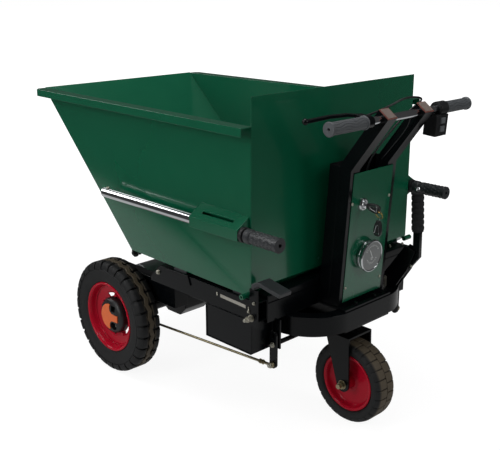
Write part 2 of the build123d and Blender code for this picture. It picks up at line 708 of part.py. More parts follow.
flange_z = (HOPPER_RIM_Z - FLANGE_DROP, HOPPER_RIM_Z)
under_flange_z = (HOPPER_RIM_Z - FLANGE_DROP, HOPPER_RIM_Z - SHEET)
side_wall += flange_plan(FLANGE_OUT, flange_z) - flange_plan(FLANGE_OUT - SHEET, under_flange_z)
parts["hopper_side_left"] = side_wall
parts["hopper_side_right"] = mirrored(side_wall)

# Hopper: hinge shaft and the ears that hang it under the floor's front corner
ear_y = (EAR_OUTER_Y - EAR_THICKNESS, EAR_OUTER_Y)
ear = rod_y(HINGE_X, HINGE_Z, EAR_RADIUS, ear_y)
ear_x = (HINGE_X - 2 * EAR_RADIUS, HINGE_X + EAR_RADIUS)
ear += block(ear_x, ear_y, (HINGE_Z, HOPPER_FLOOR_Z + 2 * EAR_RADIUS))
ear -= plate_xz(profile, ear_y)
hinge_end_y = EAR_OUTER_Y + HINGE_SHAFT_OVERHANG
hinge_shaft = rod_y(HINGE_X, HINGE_Z, HINGE_SHAFT_RADIUS, (-hinge_end_y, hinge_end_y))
parts["hopper_hinge"] = hinge_shaft + ear + mirrored(ear)

# Hopper: the bar through its lower rear edge that the foot latch catches
latch_end_y = HOPPER_REAR_HALF + LATCH_BAR_OVERHANG
latch_bar = rod_y(LATCH_BAR_X, LATCH_BAR_Z, LATCH_BAR_RADIUS, (HOPPER_REAR_HALF, latch_end_y))
latch_bar -= rod_y(LATCH_BAR_X, LATCH_BAR_Z, LATCH_BAR_RADIUS / 2, (HOPPER_REAR_HALF, latch_end_y))
parts["latch_pins"] = pair(latch_bar)

# Hopper: folded holders for the lift handles, with a guide plate at each end
lift_tube_y = HOPPER_REAR_HALF + LIFT_TUBE_STANDOFF
holder_face_y = HOPPER_REAR_HALF + HOLDER_FACE_STANDOFF
holder_root_y = HOPPER_REAR_HALF - HOLDER_ROOT
holder_rear_x = HOLDER_FRONT_X - HOLDER_LENGTH
holder_x = (holder_rear_x, HOLDER_FRONT_X)
holder_section = [
    (holder_root_y, LIFT_TUBE_Z + HOLDER_TOP_RISE + FLANGE_OUT / 2),
    (holder_face_y, LIFT_TUBE_Z + HOLDER_FACE_HALF),
    (holder_face_y, LIFT_TUBE_Z - HOLDER_FACE_HALF),
    (holder_root_y, LIFT_TUBE_Z - HOLDER_BOTTOM_DROP - FLANGE_OUT / 4),
]
holder_inner = offset_line(holder_section, -SHEET)
holder = plate_yz(holder_section, holder_x)
holder -= plate_yz(holder_inner, (holder_x[0] + HOLDER_END_PLATE, holder_x[1] - HOLDER_END_PLATE))
holder -= plan_prism(0, hopper_z)
holder -= rod_x(lift_tube_y, LIFT_TUBE_Z, LIFT_TUBE_RADIUS + RUNNING_FIT, holder_x)
slot_x = sum(holder_x) / 2
slot_y = (lift_tube_y - HOLDER_SLOT_WIDTH / 2, lift_tube_y + HOLDER_SLOT_WIDTH / 2)
holder -= block(
    (slot_x - HOLDER_SLOT_LENGTH / 2, slot_x + HOLDER_SLOT_LENGTH / 2),
    slot_y,
    (LIFT_TUBE_Z + LIFT_TUBE_RADIUS, LIFT_TUBE_Z + 3 * LIFT_TUBE_RADIUS),
)
parts["handle_holders"] = pair(holder)
collar_x = (holder_rear_x - COLLAR_LENGTH, holder_rear_x)
collar = rod_x(lift_tube_y, LIFT_TUBE_Z, COLLAR_RADIUS, collar_x)
collar -= rod_x(lift_tube_y, LIFT_TUBE_Z, LIFT_TUBE_RADIUS + RUNNING_FIT, collar_x)
parts["handle_collars"] = pair(collar)

# Lift handles: a steel tube that slides out to the rear, with a rubber grip
grip_front_x = collar_x[0] - SWING_GAP
grip_rear_x = grip_front_x - LIFT_GRIP_LENGTH
lift_x = (grip_rear_x + SHEET, LIFT_TUBE_FRONT_X)
lift_tube = rod_x(lift_tube_y, LIFT_TUBE_Z, LIFT_TUBE_RADIUS, lift_x)
lift_tube -= rod_x(lift_tube_y, LIFT_TUBE_Z, LIFT_TUBE_RADIUS - LIFT_TUBE_WALL, lift_x)
lift_grip = rod_x(lift_tube_y, LIFT_TUBE_Z, LIFT_GRIP_RADIUS, (grip_rear_x, grip_front_x))
lift_grip -= rod_x(lift_tube_y, LIFT_TUBE_Z, LIFT_TUBE_RADIUS, (lift_x[0], grip_front_x))
lift_grip -= rod_x(lift_tube_y, LIFT_TUBE_Z, LIFT_TUBE_RADIUS / 3, (grip_rear_x, lift_x[0]))
parts["lift_tube_left"] = lift_tube
parts["lift_tube_right"] = mirrored(lift_tube)
parts["lift_grip_left"] = lift_grip
parts["lift_grip_right"] = mirrored(lift_grip)

# Battery boxes hung under the rails
battery_x = (BATTERY_REAR_X, BATTERY_FRONT_X)
battery = block(battery_x, (BATTERY_INNER_Y, rail_y[1]), (BATTERY_BOTTOM_Z, rail_bottom_z))
battery -= block(rear_cross_x, (0, rail_y[0]), (U_FRAME_TOP_Z, CROSS_TOP_Z))
parts["battery_boxes"] = pair(battery)

# Foot latch on the left rail: a catch plate on a boss, with a rubber pedal
latch_front_x = LATCH_BAR_X - LATCH_BAR_RADIUS - SEAT_GAP * 10
latch_x = (latch_front_x - LATCH_WIDTH, latch_front_x)
latch_y = (rail_y[1] + SWING_GAP, rail_y[1] + SWING_GAP + LATCH_PLATE)
latch = block(latch_x, latch_y, (LATCH_BOTTOM_Z, LATCH_TOP_Z))
boss_x = RAIL_REAR_X + LATCH_BOSS_RADIUS
latch += rod_y(boss_x, LATCH_BOTTOM_Z + 2 * LATCH_BOSS_RADIUS, LATCH_BOSS_RADIUS, (rail_y[1], latch_y[0]))
parts["foot_latch"] = latch
pedal_x = sum(latch_x) / 2
pedal_line = [
    (pedal_x, LATCH_TOP_Z),
    (pedal_x, LATCH_TOP_Z + PEDAL_RISE / 2),
    (pedal_x - PEDAL_LENGTH / 5, LATCH_TOP_Z + PEDAL_RISE),
    (pedal_x - PEDAL_LENGTH, LATCH_TOP_Z + PEDAL_RISE / 3),
]
pedal_outer_y = latch_y[1] + PEDAL_OVERHANG
pedal_y = (pedal_outer_y - PEDAL_WIDTH, pedal_outer_y)
parts["latch_pedal"] = plate_xz(strip(pedal_line, PEDAL_THICKNESS), pedal_y)

# Brake linkage: cross shaft in its hangers, an arm at each end and a rod to each brake
shaft_half = BRAKE_ARM_INNER_Y
arm_y = (BRAKE_ARM_INNER_Y, BRAKE_ARM_INNER_Y + BRAKE_ARM_THICKNESS)
foot_z = BRAKE_SHAFT_Z - BRAKE_ARM_REACH
brake_shaft = rod_y(BRAKE_SHAFT_X, BRAKE_SHAFT_Z, BRAKE_SHAFT_RADIUS, (-shaft_half, shaft_half))
hanger_plate_y = (BRAKE_ARM_INNER_Y - 2 * LATCH_PLATE, BRAKE_ARM_INNER_Y - LATCH_PLATE)
shaft_hanger = block(
    (BRAKE_SHAFT_X - 2 * BRAKE_SHAFT_RADIUS, BRAKE_SHAFT_X + 2 * BRAKE_SHAFT_RADIUS),
    hanger_plate_y,
    (BRAKE_SHAFT_Z - 2 * BRAKE_SHAFT_RADIUS, U_FRAME_TOP_Z),
)
parts["brake_shaft"] = brake_shaft + shaft_hanger + mirrored(shaft_hanger)
arm_top_z = BRAKE_SHAFT_Z + BRAKE_ARM_TOP
brake_arm = block(
    (BRAKE_SHAFT_X - BRAKE_ARM_RADIUS, BRAKE_SHAFT_X + BRAKE_ARM_RADIUS), arm_y, (foot_z, arm_top_z)
)
brake_arm += rod_y(BRAKE_SHAFT_X, arm_top_z, BRAKE_ARM_RADIUS, arm_y)
brake_arm += rod_y(BRAKE_SHAFT_X, foot_z, BRAKE_ARM_RADIUS, arm_y)
brake_arm -= rod_y(BRAKE_SHAFT_X, arm_top_z, BRAKE_ARM_RADIUS / 2, arm_y)
parts["brake_arms"] = pair(brake_arm)
rod_offset = BRAKE_EYE_THICKNESS / 2 + SEAT_GAP
rod_rear = (BRAKE_SHAFT_X, arm_y[1] + rod_offset, foot_z)
rod_front = (BRAKE_ROD_FRONT_X, brake_plate_y[0] - rod_offset, BRAKE_ROD_FRONT_Z)
rear_eye_y = (arm_y[1], arm_y[1] + BRAKE_EYE_THICKNESS)
front_eye_y = (brake_plate_y[0] - BRAKE_EYE_THICKNESS, brake_plate_y[0])
brake_rod = rod_between(rod_rear, rod_front, BRAKE_ROD_RADIUS)
brake_rod += rod_y(BRAKE_SHAFT_X, foot_z, BRAKE_EYE_RADIUS, rear_eye_y)
brake_rod += rod_y(BRAKE_ROD_FRONT_X, BRAKE_ROD_FRONT_Z, BRAKE_EYE_RADIUS, front_eye_y)
parts["brake_rods"] = pair(brake_rod)

# Control column: foot plate on the U frame, two bent posts, a sheet housing and the rear panel
foot_x = (U_FRAME_REAR_X + TUBE_WALL, COLUMN_REAR_X + POST_DEPTH + HOUSING_DEPTH)
foot_top_z = U_FRAME_TOP_Z + COLUMN_FOOT
foot_half = POST_OUTER_Y + TUBE_WALL
parts["column_foot"] = block(foot_x, (-foot_half, foot_half), (U_FRAME_TOP_Z, foot_top_z))
column = Pos(COLUMN_REAR_X, 0, foot_top_z) * Rot(0, -COLUMN_LEAN, 0)
post_mid = POST_DEPTH / 2
arm_angle = radians(ARM_LEAN)
arm_end = (post_mid - ARM_LENGTH * sin(arm_angle), COLUMN_HEIGHT + ARM_LENGTH * cos(arm_angle))
post_drop = -POST_DEPTH * tan(radians(COLUMN_LEAN))
post_line = [(post_mid, post_drop), (post_mid, COLUMN_HEIGHT), arm_end]
post_y = (POST_OUTER_Y - POST_WIDTH, POST_OUTER_Y)
post = plate_xz(strip(post_line, POST_DEPTH), post_y)
post_inside = strip(post_line, POST_DEPTH - 2 * TUBE_WALL)
post -= plate_xz(post_inside, (post_y[0] + TUBE_WALL, post_y[1] - TUBE_WALL))
bar_back = ARM_LENGTH - BAR_SETBACK
bar_x = post_mid - bar_back * sin(arm_angle)
bar_z = COLUMN_HEIGHT + bar_back * cos(arm_angle)
post -= rod_y(bar_x, bar_z, BAR_RADIUS, post_y)
above_foot = block(
    (2 * COLUMN_REAR_X, 0),
    (-2 * POST_OUTER_Y, 2 * POST_OUTER_Y),
    (foot_top_z, foot_top_z + 2 * COLUMN_HEIGHT),
)
parts["column_posts"] = pair((column * post) & above_foot)

housing_x = (POST_DEPTH, POST_DEPTH + HOUSING_DEPTH)
housing = block(housing_x, (-POST_OUTER_Y, POST_OUTER_Y), (post_drop, COLUMN_HEIGHT))
housing -= block(
    (POST_DEPTH, housing_x[1] - HOUSING_SHEET),
    (-POST_OUTER_Y + HOUSING_SHEET, POST_OUTER_Y - HOUSING_SHEET),
    (post_drop, COLUMN_HEIGHT),
)
housing = column * housing
parts["column_housing"] = housing & above_foot

panel_x = (-HOUSING_SHEET, 0)
panel_z = (PANEL_BOTTOM, PANEL_BOTTOM + PANEL_HEIGHT)
parts["column_panel"] = column * block(panel_x, (-PANEL_WIDTH / 2, PANEL_WIDTH / 2), panel_z)
gauge_x = (panel_x[0] - GAUGE_DEPTH, panel_x[0])
parts["battery_gauge"] = column * rod_x(0, GAUGE_HEIGHT, GAUGE_RADIUS, gauge_x)
lock_x = (panel_x[0] - LOCK_DEPTH, panel_x[0])
parts["key_lock"] = column * rod_x(LOCK_Y, LOCK_HEIGHT, LOCK_RADIUS, lock_x)

cap_line = [
    arm_end,
    (arm_end[0] - ARM_CAP * sin(arm_angle), arm_end[1] + ARM_CAP * cos(arm_angle)),
]
parts["arm_caps"] = pair(column * plate_xz(strip(cap_line, POST_DEPTH), post_y))

# Handlebar through the arms: grips, brake lever on the left, throttle and switches on the right
bar = rod_y(bar_x, bar_z, BAR_RADIUS, (-BAR_HALF, BAR_HALF))
bar -= rod_y(bar_x, bar_z, BAR_RADIUS - HOUSING_SHEET, (-BAR_HALF, BAR_HALF))
parts["handlebar"] = column * bar


def grip(length, side):
    """A rubber grip over one end of the bar, with a flanged end."""
    inner, outer = sorted((side * (BAR_HALF - length), side * BAR_HALF))
    tip = sorted((side * BAR_HALF, side * (BAR_HALF + GRIP_END)))
    body = rod_y(bar_x, bar_z, GRIP_RADIUS, (inner, outer))
    body -= rod_y(bar_x, bar_z, BAR_RADIUS, (inner, outer))
    end = rod_y(bar_x, bar_z, GRIP_END_RADIUS, tip)
    end -= rod_y(bar_x, bar_z, BAR_RADIUS / 3, tip)
    return column * (body + end)


parts["handlebar_grips"] = [grip(LEFT_GRIP_LENGTH, 1), grip(RIGHT_GRIP_LENGTH, -1)]

clamp_outer_y = BAR_HALF - LEFT_GRIP_LENGTH
clamp_y = (clamp_outer_y - LEVER_CLAMP_LENGTH, clamp_outer_y)
blade_z = (bar_z + LEVER_THICKNESS, bar_z + 2 * LEVER_THICKNESS)
blade_line = [
    (bar_x + LEVER_REACH / 3, clamp_y[0] + LEVER_THICKNESS),
    (bar_x + LEVER_REACH * 0.84, clamp_y[1] + LEVER_OVERHANG / 3),
    (bar_x + LEVER_REACH, (clamp_y[1] + BAR_HALF) / 2),
    (bar_x + LEVER_REACH * 0.9, BAR_HALF + LEVER_OVERHANG),
]
lever = rod_y(bar_x, bar_z, LEVER_CLAMP_RADIUS, clamp_y)
lever += block((bar_x, bar_x + LEVER_BODY_REACH), clamp_y, (bar_z - LEVER_CLAMP_RADIUS / 2, blade_z[1]))
lever += plate_xy(strip(blade_line, LEVER_WIDTH), blade_z)
lever -= rod_y(bar_x, bar_z, BAR_RADIUS, clamp_y)
parts["brake_lever"] = column * lever

throttle_outer_y = -(BAR_HALF - RIGHT_GRIP_LENGTH)
throttle_y = (throttle_outer_y, throttle_outer_y + THROTTLE_LENGTH)
switch_y = (throttle_outer_y, throttle_outer_y + THROTTLE_LENGTH * 1.6)
throttle = rod_y(bar_x, bar_z, THROTTLE_RADIUS, throttle_y)
throttle += block(
    (bar_x - THROTTLE_RADIUS, bar_x + THROTTLE_RADIUS),
    switch_y,
    (bar_z - SWITCH_BOX_DROP, bar_z - BAR_RADIUS - TUBE_WALL),
)
throttle -= rod_y(bar_x, bar_z, BAR_RADIUS, throttle_y)
parts["throttle_switch"] = column * throttle

# Brake cable: straight runs with bends between them, as (x, y, z) in the column's own upright layout
cable_x = bar_x + CABLE_FORWARD
inside_x = POST_DEPTH + HOUSING_DEPTH / 4
inner_y = POST_OUTER_Y - POST_WIDTH
cable_start_y = clamp_y[0] - SEAT_GAP
cable_route = [
    (cable_x + LEVER_THICKNESS, cable_start_y, bar_z + LEVER_THICKNESS),
    (cable_x + LEVER_THICKNESS, cable_start_y - 2 * CABLE_BEND, bar_z + LEVER_THICKNESS),
    (cable_x + LEVER_THICKNESS, inner_y / 2, bar_z + CABLE_RISE / 2),
    (cable_x, -inner_y / 2, bar_z + CABLE_RISE),
    (cable_x, CABLE_LOOP_Y, bar_z + CABLE_RISE * 0.7),
    (cable_x + LEVER_THICKNESS, -inner_y + 3 * CABLE_RADIUS, bar_z),
    (inside_x, -inner_y / 2, COLUMN_HEIGHT),
    (inside_x, -inner_y / 2, COLUMN_HEIGHT - CABLE_RISE),
]
cable_path = FilletPolyline(*cable_route, radius=CABLE_BEND)
cable_end = Plane(origin=cable_path @ 0, z_dir=cable_path % 0) * Circle(CABLE_RADIUS)
parts["brake_cable"] = column * sweep(cable_end, path=cable_path)

# Parking brake: two side plates on the U frame, the lever between them and its foam grip
foot_front_x = U_FRAME_REAR_X + PARK_FOOT_FRONT
park_outline = [
    (foot_front_x - PARK_FOOT_LENGTH, U_FRAME_TOP_Z),
    (foot_front_x, U_FRAME_TOP_Z),
    (foot_front_x, U_FRAME_TOP_Z + PARK_HEEL_RISE),
    (U_FRAME_REAR_X - PARK_HEAD_BACK / 7, U_FRAME_TOP_Z + PARK_HEAD_RISE),
    (U_FRAME_REAR_X - PARK_HEAD_BACK, U_FRAME_TOP_Z + PARK_HEAD_RISE * 0.92),
    (U_FRAME_REAR_X - PARK_HEAD_BACK * 0.4, U_FRAME_TOP_Z + PARK_HEAD_RISE * 0.47),
]
park_plates = []
for side in (1, -1):
    plate_y = sorted((PARK_Y + side * PARK_GAP / 2, PARK_Y + side * (PARK_GAP / 2 + PARK_PLATE)))
    park_plates.append(plate_xz(park_outline, plate_y))
parts["parking_brake_bracket"] = park_plates
park_pivot = (U_FRAME_REAR_X + PARK_PIVOT_FRONT, U_FRAME_TOP_Z + PARK_PIVOT_RISE)
park_knee = (U_FRAME_REAR_X - PARK_KNEE_BACK, U_FRAME_TOP_Z + PARK_KNEE_RISE)
park_neck = (U_FRAME_REAR_X - PARK_NECK_BACK, U_FRAME_TOP_Z + PARK_NECK_RISE)
park_tip = (U_FRAME_REAR_X - PARK_TIP_BACK, U_FRAME_TOP_Z + PARK_TIP_RISE)
lever_y = (PARK_Y - PARK_LEVER_THICKNESS / 2, PARK_Y + PARK_LEVER_THICKNESS / 2)
pivot_y = (PARK_Y - PARK_GAP / 2, PARK_Y + PARK_GAP / 2)
park_lever = plate_xz(strip([park_pivot, park_knee, park_neck], PARK_LEVER_WIDTH), lever_y)
park_lever += rod_y(*park_pivot, PARK_PIVOT_RADIUS, pivot_y)
neck, tip = [Vector(x, PARK_Y, z) for x, z in (park_neck, park_tip)]
button = tip + (tip - neck).normalized() * PARK_BUTTON
park_lever += rod_between(neck, button, PARK_ROD_RADIUS)
parts["parking_brake_lever"] = park_lever
parts["parking_brake_grip"] = rod_between(neck, tip, PARK_GRIP_RADIUS) - park_lever

# Save every node, with the origin on the ground at the middle of the whole machine
nodes = {name: piece if isinstance(piece, list) else [piece] for name, piece in parts.items()}
boxes = [solid.bounding_box() for solids in nodes.values() for solid in solids]
front_x = max(box.max.X for box in boxes)
rear_x = min(box.min.X for box in boxes)
origin_x = round((front_x + rear_x) / 2, 1)
os.makedirs("parts", exist_ok=True)
for name, solids in nodes.items():
    placed = [Pos(-origin_x, 0, 0) * solid for solid in solids]
    shape = Compound(children=placed) if len(placed) > 1 else placed[0]
    export_step(shape, f"parts/{name}.step")
print("origin at", origin_x, "nodes", len(nodes))
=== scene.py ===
"""Electric dump tricycle: the looks round its fixed frame.

Sizes are millimetres, laid out from the front axle line on the ground: x forward to the tipping lip,
y to the left side, z up. at() turns such a place into the frame's metres.
"""

import json
from math import atan2, cos, degrees, hypot, pi, radians, sin, tau

import bmesh
import bpy
from mathutils import Matrix, Vector

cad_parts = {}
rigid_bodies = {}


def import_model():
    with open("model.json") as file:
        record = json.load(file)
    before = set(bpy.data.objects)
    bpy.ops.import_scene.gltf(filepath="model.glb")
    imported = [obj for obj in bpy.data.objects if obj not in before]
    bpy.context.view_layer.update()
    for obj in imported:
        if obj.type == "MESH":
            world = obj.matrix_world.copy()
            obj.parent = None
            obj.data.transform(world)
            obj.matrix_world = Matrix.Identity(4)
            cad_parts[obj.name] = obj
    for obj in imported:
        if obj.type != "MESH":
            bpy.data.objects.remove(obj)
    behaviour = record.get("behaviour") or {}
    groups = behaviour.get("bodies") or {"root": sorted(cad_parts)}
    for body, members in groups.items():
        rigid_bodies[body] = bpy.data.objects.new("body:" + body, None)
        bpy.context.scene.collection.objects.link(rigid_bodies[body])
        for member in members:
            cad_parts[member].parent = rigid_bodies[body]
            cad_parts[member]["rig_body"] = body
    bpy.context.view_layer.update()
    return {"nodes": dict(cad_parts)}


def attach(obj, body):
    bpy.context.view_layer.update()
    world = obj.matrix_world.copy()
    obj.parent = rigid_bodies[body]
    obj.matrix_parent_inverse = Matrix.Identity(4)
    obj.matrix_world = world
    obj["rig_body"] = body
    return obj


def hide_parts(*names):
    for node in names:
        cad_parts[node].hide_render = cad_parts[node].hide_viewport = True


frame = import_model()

# Camera
# It stands behind the machine's left rear corner at a standing person's chest, and looks forward and
# down, as the photograph does.
LAYOUT_X = 315.4
CAMERA_PLACE = (-2274.2, 1888.9, 1352.6)
CAMERA_HEADING = radians(-44.44)
CAMERA_PITCH = radians(16.83)
CAMERA_SENSOR = 36.0
CAMERA_LENS = 59.83
CAMERA_REACH = 60.0
add_to_scene = bpy.context.scene.collection.objects.link


def metres(x, y, z):
    """A place or a size in millimetres, as a vector in metres."""
    return Vector((x, y, z)) / 1000


def at(x, y, z):
    """A laid-out place in the frame's metres."""
    return metres(x + LAYOUT_X, y, z)


camera_data = bpy.data.cameras.new("camera")
camera_data.sensor_width = CAMERA_SENSOR
camera_data.lens = CAMERA_LENS
camera_data.clip_end = CAMERA_REACH
camera = bpy.data.objects.new("camera", camera_data)
looking = Vector((cos(CAMERA_HEADING), sin(CAMERA_HEADING), 0)) * cos(CAMERA_PITCH)
looking.z = -sin(CAMERA_PITCH)
camera.location = at(*CAMERA_PLACE)
camera.rotation_euler = looking.to_track_quat("-Z", "Y").to_euler()
add_to_scene(camera)
bpy.context.scene.camera = camera

# Studio
# A white floor under soft boxes: one large one overhead, a tall one at the machine's left and weaker
# ones behind it and past its lip. The machine mirrors the floor close by, and dark space further off.
FLOOR_SIZE = 60.0
WHITE = "#ffffff"
PAPER = "#d9d9d9"
PAPER_ROUGHNESS = 0.9
# strengths of the background and the floor, as seen, as light for the machine, and as mirrored by it
BACKGROUND_LEVEL = 1.0
FLOOR_GLOW = 1.2
FILL_LEVEL = 0.30
MIRRORED_LEVEL = 0.05
MIRRORED_FLOOR = 0.5
# how far from the middle the mirrored floor and the shadow fade out, in metres
MIRROR_NEAR = 1.7
MIRROR_FAR = 2.5
SHADOW_NEAR = 1.4
SHADOW_FAR = 3.2
SHADOW_SHOWN = 0.24
# name, place, target, width and length in metres, power in watts
SOFT_BOXES = [
    ("overhead", (-250, 300, 3300), (-250, 0, 500), 2.2, 2.2, 56),
    ("left_side", (-200, 3200, 1900), (-250, 0, 600), 1, 2.2, 44),
    ("rear", (-3300, -900, 2100), (-500, 0, 600), 0.8, 1.8, 22),
    ("lip_side", (2600, 1500, 2300), (0, 0, 500), 1, 1.6, 26),
]


def linear(code):
    """An sRGB hex colour as linear red, green, blue and alpha."""
    channels = [int(code[start : start + 2], 16) / 255 for start in (1, 3, 5)]
    return [c / 12.92 if c <= 0.04045 else ((c + 0.055) / 1.055) ** 2.4 for c in channels] + [1.0]


def add_node(tree, kind, given=None):
    """Adds a node. A key is a property, or a socket by name or number; a value that is a socket is linked."""
    made = tree.nodes.new(kind)
    for key, value in (given or {}).items():
        if isinstance(value, bpy.types.NodeSocket):
            tree.links.new(value, made.inputs[key])
        elif isinstance(key, int) or key in made.inputs:
            made.inputs[key].default_value = value
        else:
            setattr(made, key, value)
    return made


def maths(tree, operation, *values):
    """The result of an operation on numbers or sockets."""
    return add_node(tree, "ShaderNodeMath", {"operation": operation, **dict(enumerate(values))}).outputs[0]


def ranged(tree, value, start, end, low, high):
    """A value mapped from one range, start to end, onto another, low to high."""
    limits = {"From Min": start, "From Max": end, "To Min": low, "To Max": high}
    return add_node(tree, "ShaderNodeMapRange", {"Value": value, **limits}).outputs[0]


def shown_to(tree, *rays):
    """1 for the named kinds of ray and 0 for the others."""
    path = add_node(tree, "ShaderNodeLightPath").outputs
    total = path[rays[0]]
    for ray in rays[1:]:
        total = maths(tree, "MAXIMUM", total, path[ray])
    return total


world = bpy.data.worlds.new("studio")
world.use_nodes = True
bpy.context.scene.world = world
world_tree = world.node_tree
background = world_tree.nodes["Background"]
background.inputs["Color"].default_value = linear(WHITE)
seen = shown_to(world_tree, "Is Camera Ray", "Is Transmission Ray")
seen_level = ranged(world_tree, seen, 0.0, 1.0, FILL_LEVEL, BACKGROUND_LEVEL)
mirroring = shown_to(world_tree, "Is Glossy Ray")
levels = {"data_type": "FLOAT", 0: mirroring, 2: seen_level, 3: MIRRORED_LEVEL}
mirrored_level = add_node(world_tree, "ShaderNodeMix", levels)
world_tree.links.new(mirrored_level.outputs[0], background.inputs["Strength"])

floor_mesh = bpy.data.meshes.new("floor")
floor_quarters = ((-1, -1), (1, -1), (1, 1), (-1, 1))
floor_corners = [(x * FLOOR_SIZE / 2, y * FLOOR_SIZE / 2, 0) for x, y in floor_quarters]
floor_mesh.from_pydata(floor_corners, [], [(0, 1, 2, 3)])
floor = bpy.data.objects.new("floor", floor_mesh)
add_to_scene(floor)
floor_finish = bpy.data.materials.new("matt_white_paper")
floor_finish.use_nodes = True
floor_tree = floor_finish.node_tree
paper = floor_tree.nodes["Principled BSDF"]
paper.inputs["Base Color"].default_value = linear(PAPER)
paper.inputs["Roughness"].default_value = PAPER_ROUGHNESS
glow = add_node(floor_tree, "ShaderNodeEmission", {"Color": linear(WHITE), "Strength": FLOOR_GLOW}).outputs[0]
floor_place = add_node(floor_tree, "ShaderNodeTexCoord").outputs["Object"]
floor_reach = add_node(
    floor_tree, "ShaderNodeVectorMath", {"operation": "LENGTH", 0: floor_place}
).outputs["Value"]
glow_share = ranged(floor_tree, floor_reach, SHADOW_NEAR, SHADOW_FAR, 1.0 - SHADOW_SHOWN, 1.0)
seen = shown_to(floor_tree, "Is Camera Ray", "Is Transmission Ray")
lit = maths(floor_tree, "MULTIPLY", seen, glow_share)
floor_mix = add_node(floor_tree, "ShaderNodeMixShader", {0: lit, 1: paper.outputs[0], 2: glow}).outputs[0]
mirror_fade = ranged(floor_tree, floor_reach, MIRROR_NEAR, MIRROR_FAR, MIRRORED_FLOOR, MIRRORED_LEVEL)
mirrored_glow = {"Color": linear(WHITE), "Strength": mirror_fade}
mirrored = add_node(floor_tree, "ShaderNodeEmission", mirrored_glow).outputs[0]
mirroring = shown_to(floor_tree, "Is Glossy Ray")
floor_look = add_node(floor_tree, "ShaderNodeMixShader", {0: mirroring, 1: floor_mix, 2: mirrored})
floor_tree.links.new(floor_look.outputs[0], floor_tree.nodes["Material Output"].inputs["Surface"])
floor_mesh.materials.append(floor_finish)

for name, place, target, width, length, power in SOFT_BOXES:
    lamp = bpy.data.lights.new(name, "AREA")
    lamp.shape = "RECTANGLE"
    lamp.size = width
    lamp.size_y = length
    lamp.energy = power
    soft_box = bpy.data.objects.new(name, lamp)
    soft_box.location = at(*place)
    soft_box.rotation_euler = (at(*target) - at(*place)).to_track_quat("-Z", "Y").to_euler()
    add_to_scene(soft_box)
bpy.context.scene.view_settings.view_transform = "Standard"

# Hopper
# Folded and welded steel sheet in green stoved enamel: a thick gloss skin with a faint orange peel.
# The panels keep the frame's shape, with their cut edges rounded by the paint.
GREEN = ("#014a32", "#025237")
SHEET_EDGE = 0.9
ENAMEL_GLOSS = (0.2, 0.3)
ENAMEL_PEEL = 5.0
# what a merged solid's corners and faces may differ by, in metres and degrees
MERGE_WITHIN = 0.00002
FLAT_WITHIN = 1


def surface(name, colours, patch, roughness, grain, depth, **sockets):
    """A finish whose colour and roughness drift over patches, with a fine grain of a depth. Sizes in mm."""
    finish = bpy.data.materials.new(name)
    finish.use_nodes = True
    tree = finish.node_tree
    shader = tree.nodes["Principled BSDF"]
    place = add_node(tree, "ShaderNodeTexCoord").outputs["Object"]
    patches = add_node(tree, "ShaderNodeTexNoise", {"Scale": 1000 / patch, "Detail": 3.0, "Vector": place})
    drift = patches.outputs["Fac"]
    shades = {6: linear(colours[0]), 7: linear(colours[1])}
    tint = add_node(tree, "ShaderNodeMix", {"data_type": "RGBA", 0: drift, **shades})
    gloss = ranged(tree, drift, 0.0, 1.0, *roughness)
    grains = add_node(tree, "ShaderNodeTexNoise", {"Scale": 1000 / grain, "Detail": 2.0, "Vector": place})
    height = {"Strength": 1.0, "Distance": depth / 1000, "Height": grains.outputs["Fac"]}
    relief = add_node(tree, "ShaderNodeBump", height)
    tree.links.new(tint.outputs[2], shader.inputs["Base Color"])
    tree.links.new(gloss, shader.inputs["Roughness"])
    tree.links.new(relief.outputs[0], shader.inputs["Normal"])
    for socket, value in sockets.items():
        shader.inputs[socket.replace("_", " ")].default_value = value
    return finish


green_enamel = surface(
    "stoved_green_enamel", GREEN, 140, ENAMEL_GLOSS, ENAMEL_PEEL, 0.012,
    IOR=1.5, Coat_Weight=0.55, Coat_Roughness=0.08,
)


def body_of(node):
    """The name of the moving body that a CAD node belongs to."""
    return frame["nodes"][node]["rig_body"]


def finished(piece, body, slot, *nodes):
    """Puts a piece on its body, in place of any nodes that it stands for. Its slot is not used."""
    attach(piece, body)
    if nodes:
        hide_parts(*nodes)
    return piece


def unlinked(name, shape):
    """An object from a bmesh, which it uses up, that isn't in the scene yet."""
    mesh = bpy.data.meshes.new(name)
    shape.to_mesh(mesh)
    shape.free()
    return bpy.data.objects.new(name, mesh)


def smoothed(made, crease):
    """Shades a piece smooth up to a crease angle in degrees."""
    made.data.shade_smooth()
    made.data.set_sharp_from_angle(angle=radians(crease))
    return made


def as_object(name, shape, finish, crease=50):
    """A piece in the scene from a bmesh, shaded smooth up to a crease angle in degrees."""
    made = smoothed(unlinked(name, shape), crease)
    made.data.materials.append(finish)
    add_to_scene(made)
    return made


def rounded(made, edge, segments=2, limit=40):
    """Rounds an object's sharp edges by a radius in mm."""
    bevel = made.modifiers.new("rounded_edges", "BEVEL")
    bevel.width = edge / 1000
    bevel.segments = segments
    bevel.limit_method = "ANGLE"
    bevel.angle_limit = radians(limit)
    bevel.harden_normals = True
    return made


def dressed(node, finish, slot, edge):
    """A CAD node's merged copy with rounded edges, in the node's place."""
    shape = bmesh.new()
    shape.from_mesh(frame["nodes"][node].data)
    bmesh.ops.remove_doubles(shape, verts=shape.verts, dist=MERGE_WITHIN)
    bmesh.ops.dissolve_limit(shape, angle_limit=radians(FLAT_WITHIN), verts=shape.verts, edges=shape.edges)
    made = rounded(as_object(f"{node}_finished", shape, finish), edge)
    return finished(made, body_of(node), slot, node)


for panel in ("floor", "front_wall", "rear_wall", "side_left", "side_right"):
    dressed(f"hopper_{panel}", green_enamel, "green_paint", SHEET_EDGE)
